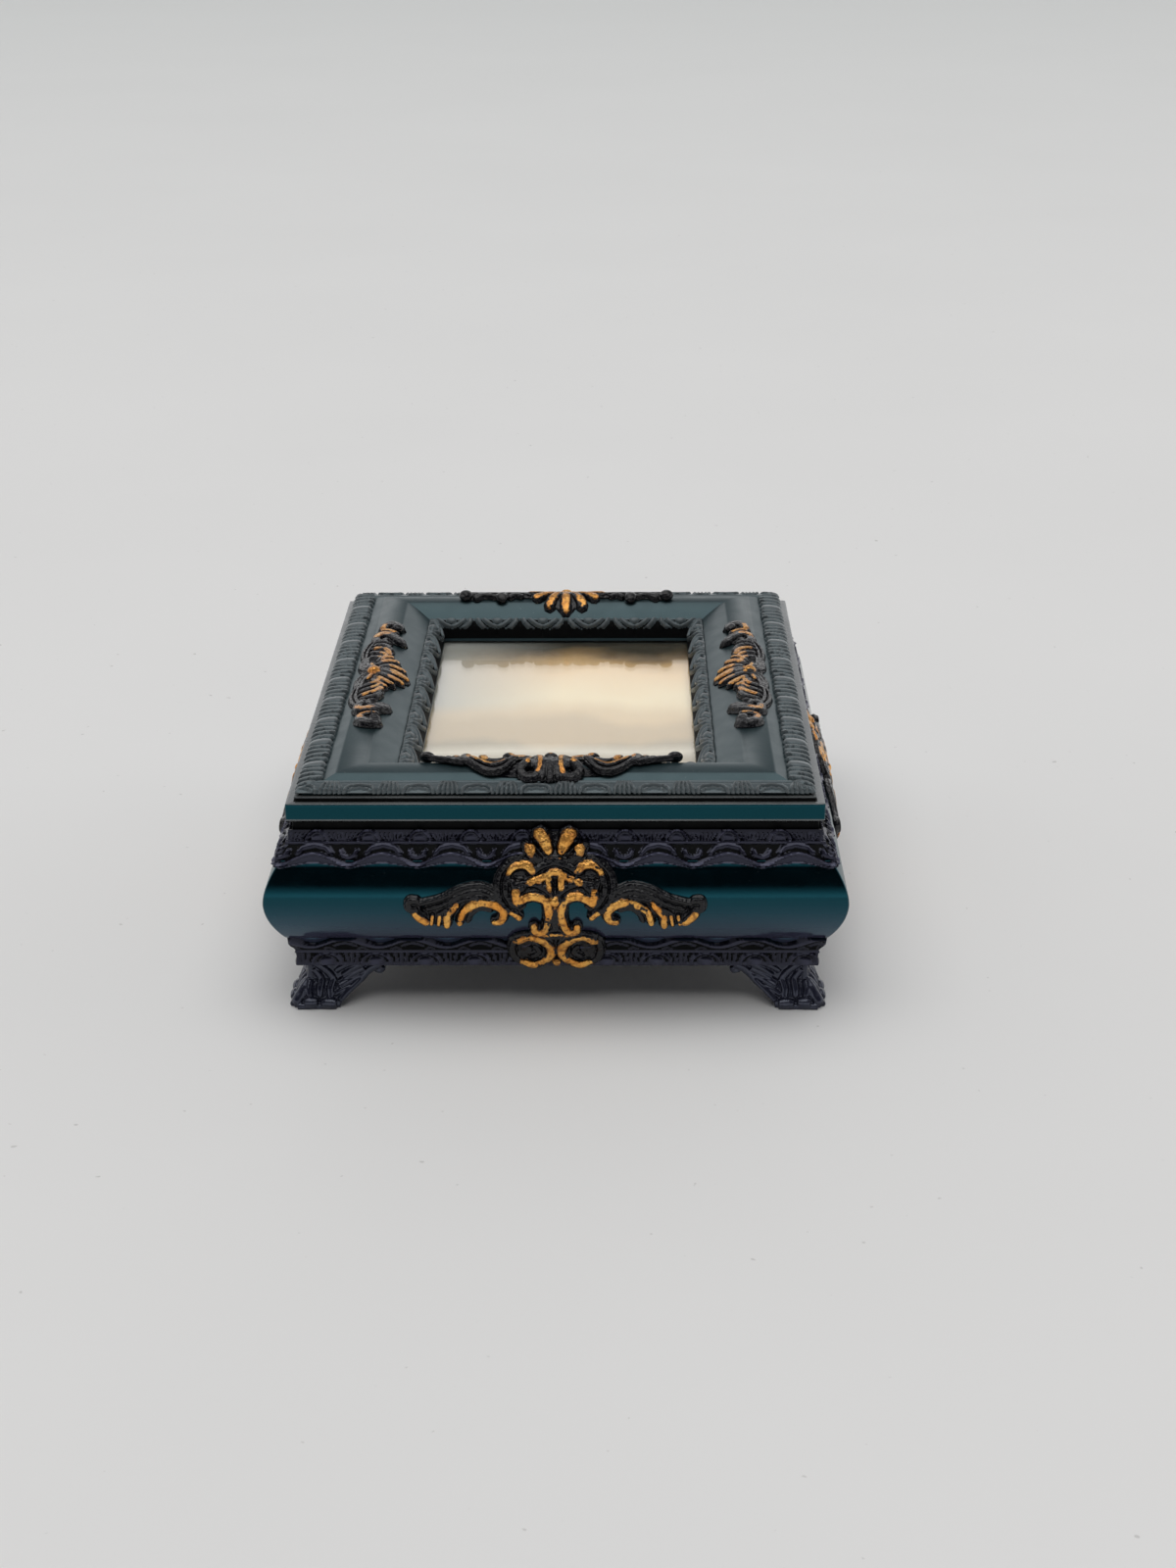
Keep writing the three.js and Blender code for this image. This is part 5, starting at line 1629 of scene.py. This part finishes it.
brass, tree, shader, place = material("hinge_brass")
clouds = shared(tree, cast_clouds, place)
tone = blended(tree, clouds["Slow"], (0.62, 0.42, 0.16), (0.78, 0.58, 0.27))
tarnish = spread(tree, clouds["Middle"], 0.55, 1.0, 0.0, 0.45)
feed(tree, shader, {
    "Base Color": blended(tree, tarnish, tone, (0.22, 0.14, 0.06)),
    "Metallic": 1,
    "Roughness": spread(tree, clouds["Middle"], 0, 1, 0.24, 0.42),
})
bumped(tree, shader, clouds["Fine"], 0.3, 0.02)
dress(brass, *(node for name, node in frame["nodes"].items() if name.startswith("hinge_")))

# %% [markdown]
# ## Floor and light
# The photograph has a pale sweep of card behind and under the box. A wide plane does for it, because the
# camera looks down and sees nothing else. One large soft lamp shines from almost straight overhead, and
# the world gives the rest: bright behind and above, dark in front, so the upper half of the belly
# reflects darkness and the lower half the pale floor.

# %% Floor
clean_start()
bpy.ops.mesh.primitive_plane_add(size=8)
floor = named("studio_floor")
card, tree, shader, place = material("pale_card")
shade = spread(tree, noise(tree, place, 6, 3), 0.3, 0.7)
# painted shade: the card darkens further back, for light that falls off with distance
distance = spread(tree, add(tree, "SeparateXYZ", {0: place}).outputs["Y"], 0.2, 2.6)
grit = spread(tree, noise(tree, place, 420, 1), 0.77, 0.81, 0.0, 0.35)
pale = blended(tree, shade, (0.82, 0.82, 0.81), (0.84, 0.84, 0.83))
pale = blended(tree, distance, pale, (0.63, 0.65, 0.64))
feed(tree, shader, {
    "Base Color": blended(tree, grit, pale, (0.3, 0.29, 0.27)),
    "Roughness": 0.7,
    "Specular IOR Level": 0.2,
})
dress(card, floor)

# %% Lamp
clean_start()
bpy.ops.object.light_add(type="SUN", location=(0, 0, 1.2))
lamp = named("soft_lamp")
lamp.data.energy = 1.5
lamp.data.angle = math.radians(70)
lamp.data.color = (1, 0.99, 0.97)
toward = Vector((0.06, 0.06, -1.0))
lamp.rotation_euler = toward.to_track_quat("-Z", "Y").to_euler()
print("lamp:", lamp.data.energy, "over", round(math.degrees(lamp.data.angle)), "degrees")

# %% World
world = bpy.data.worlds.new("studio")
bpy.context.scene.world = world
world.use_nodes = True
tree = world.node_tree
tree.nodes.clear()
direction = add(tree, "SeparateXYZ", {0: add(tree, "TexCoord").outputs["Generated"]}).outputs
rise = spread(tree, direction["Z"], -0.1, 1.0)
bright = ramp(tree, rise, [
    (0.0, (0.85, 0.85, 0.85)), (0.28, (1.15, 1.15, 1.16)), (0.43, (1.0, 1.0, 1.01)),
    (0.52, (0.55, 0.55, 0.56)), (0.75, (0.22, 0.22, 0.24)), (0.93, (0.25, 0.25, 0.27)),
    (1.0, (0.60, 0.60, 0.62)),
])
front = ramp(tree, rise, [
    (0.0, (1.0, 1.0, 1.02)), (0.16, (1.0, 1.0, 1.02)), (0.30, (0.45, 0.45, 0.48)),
    (0.44, (0.012, 0.012, 0.015)), (0.8, (0.012, 0.012, 0.016)), (1.0, (0.70, 0.70, 0.72)),
])
around = blended(tree, spread(tree, direction["Y"], -0.3, 0.25), front, bright)
background = add(tree, "Background", {"Color": around, "Strength": 1.0})
add(tree, "OutputWorld", {"Surface": background.outputs[0]})
print("world nodes:", len(tree.nodes))

# %% [markdown]
# ## Finish
# The colours are shown through the Standard view transform, and nothing is left selected.

# %% Finish
bpy.context.scene.view_settings.view_transform = "Standard"
clean_start()
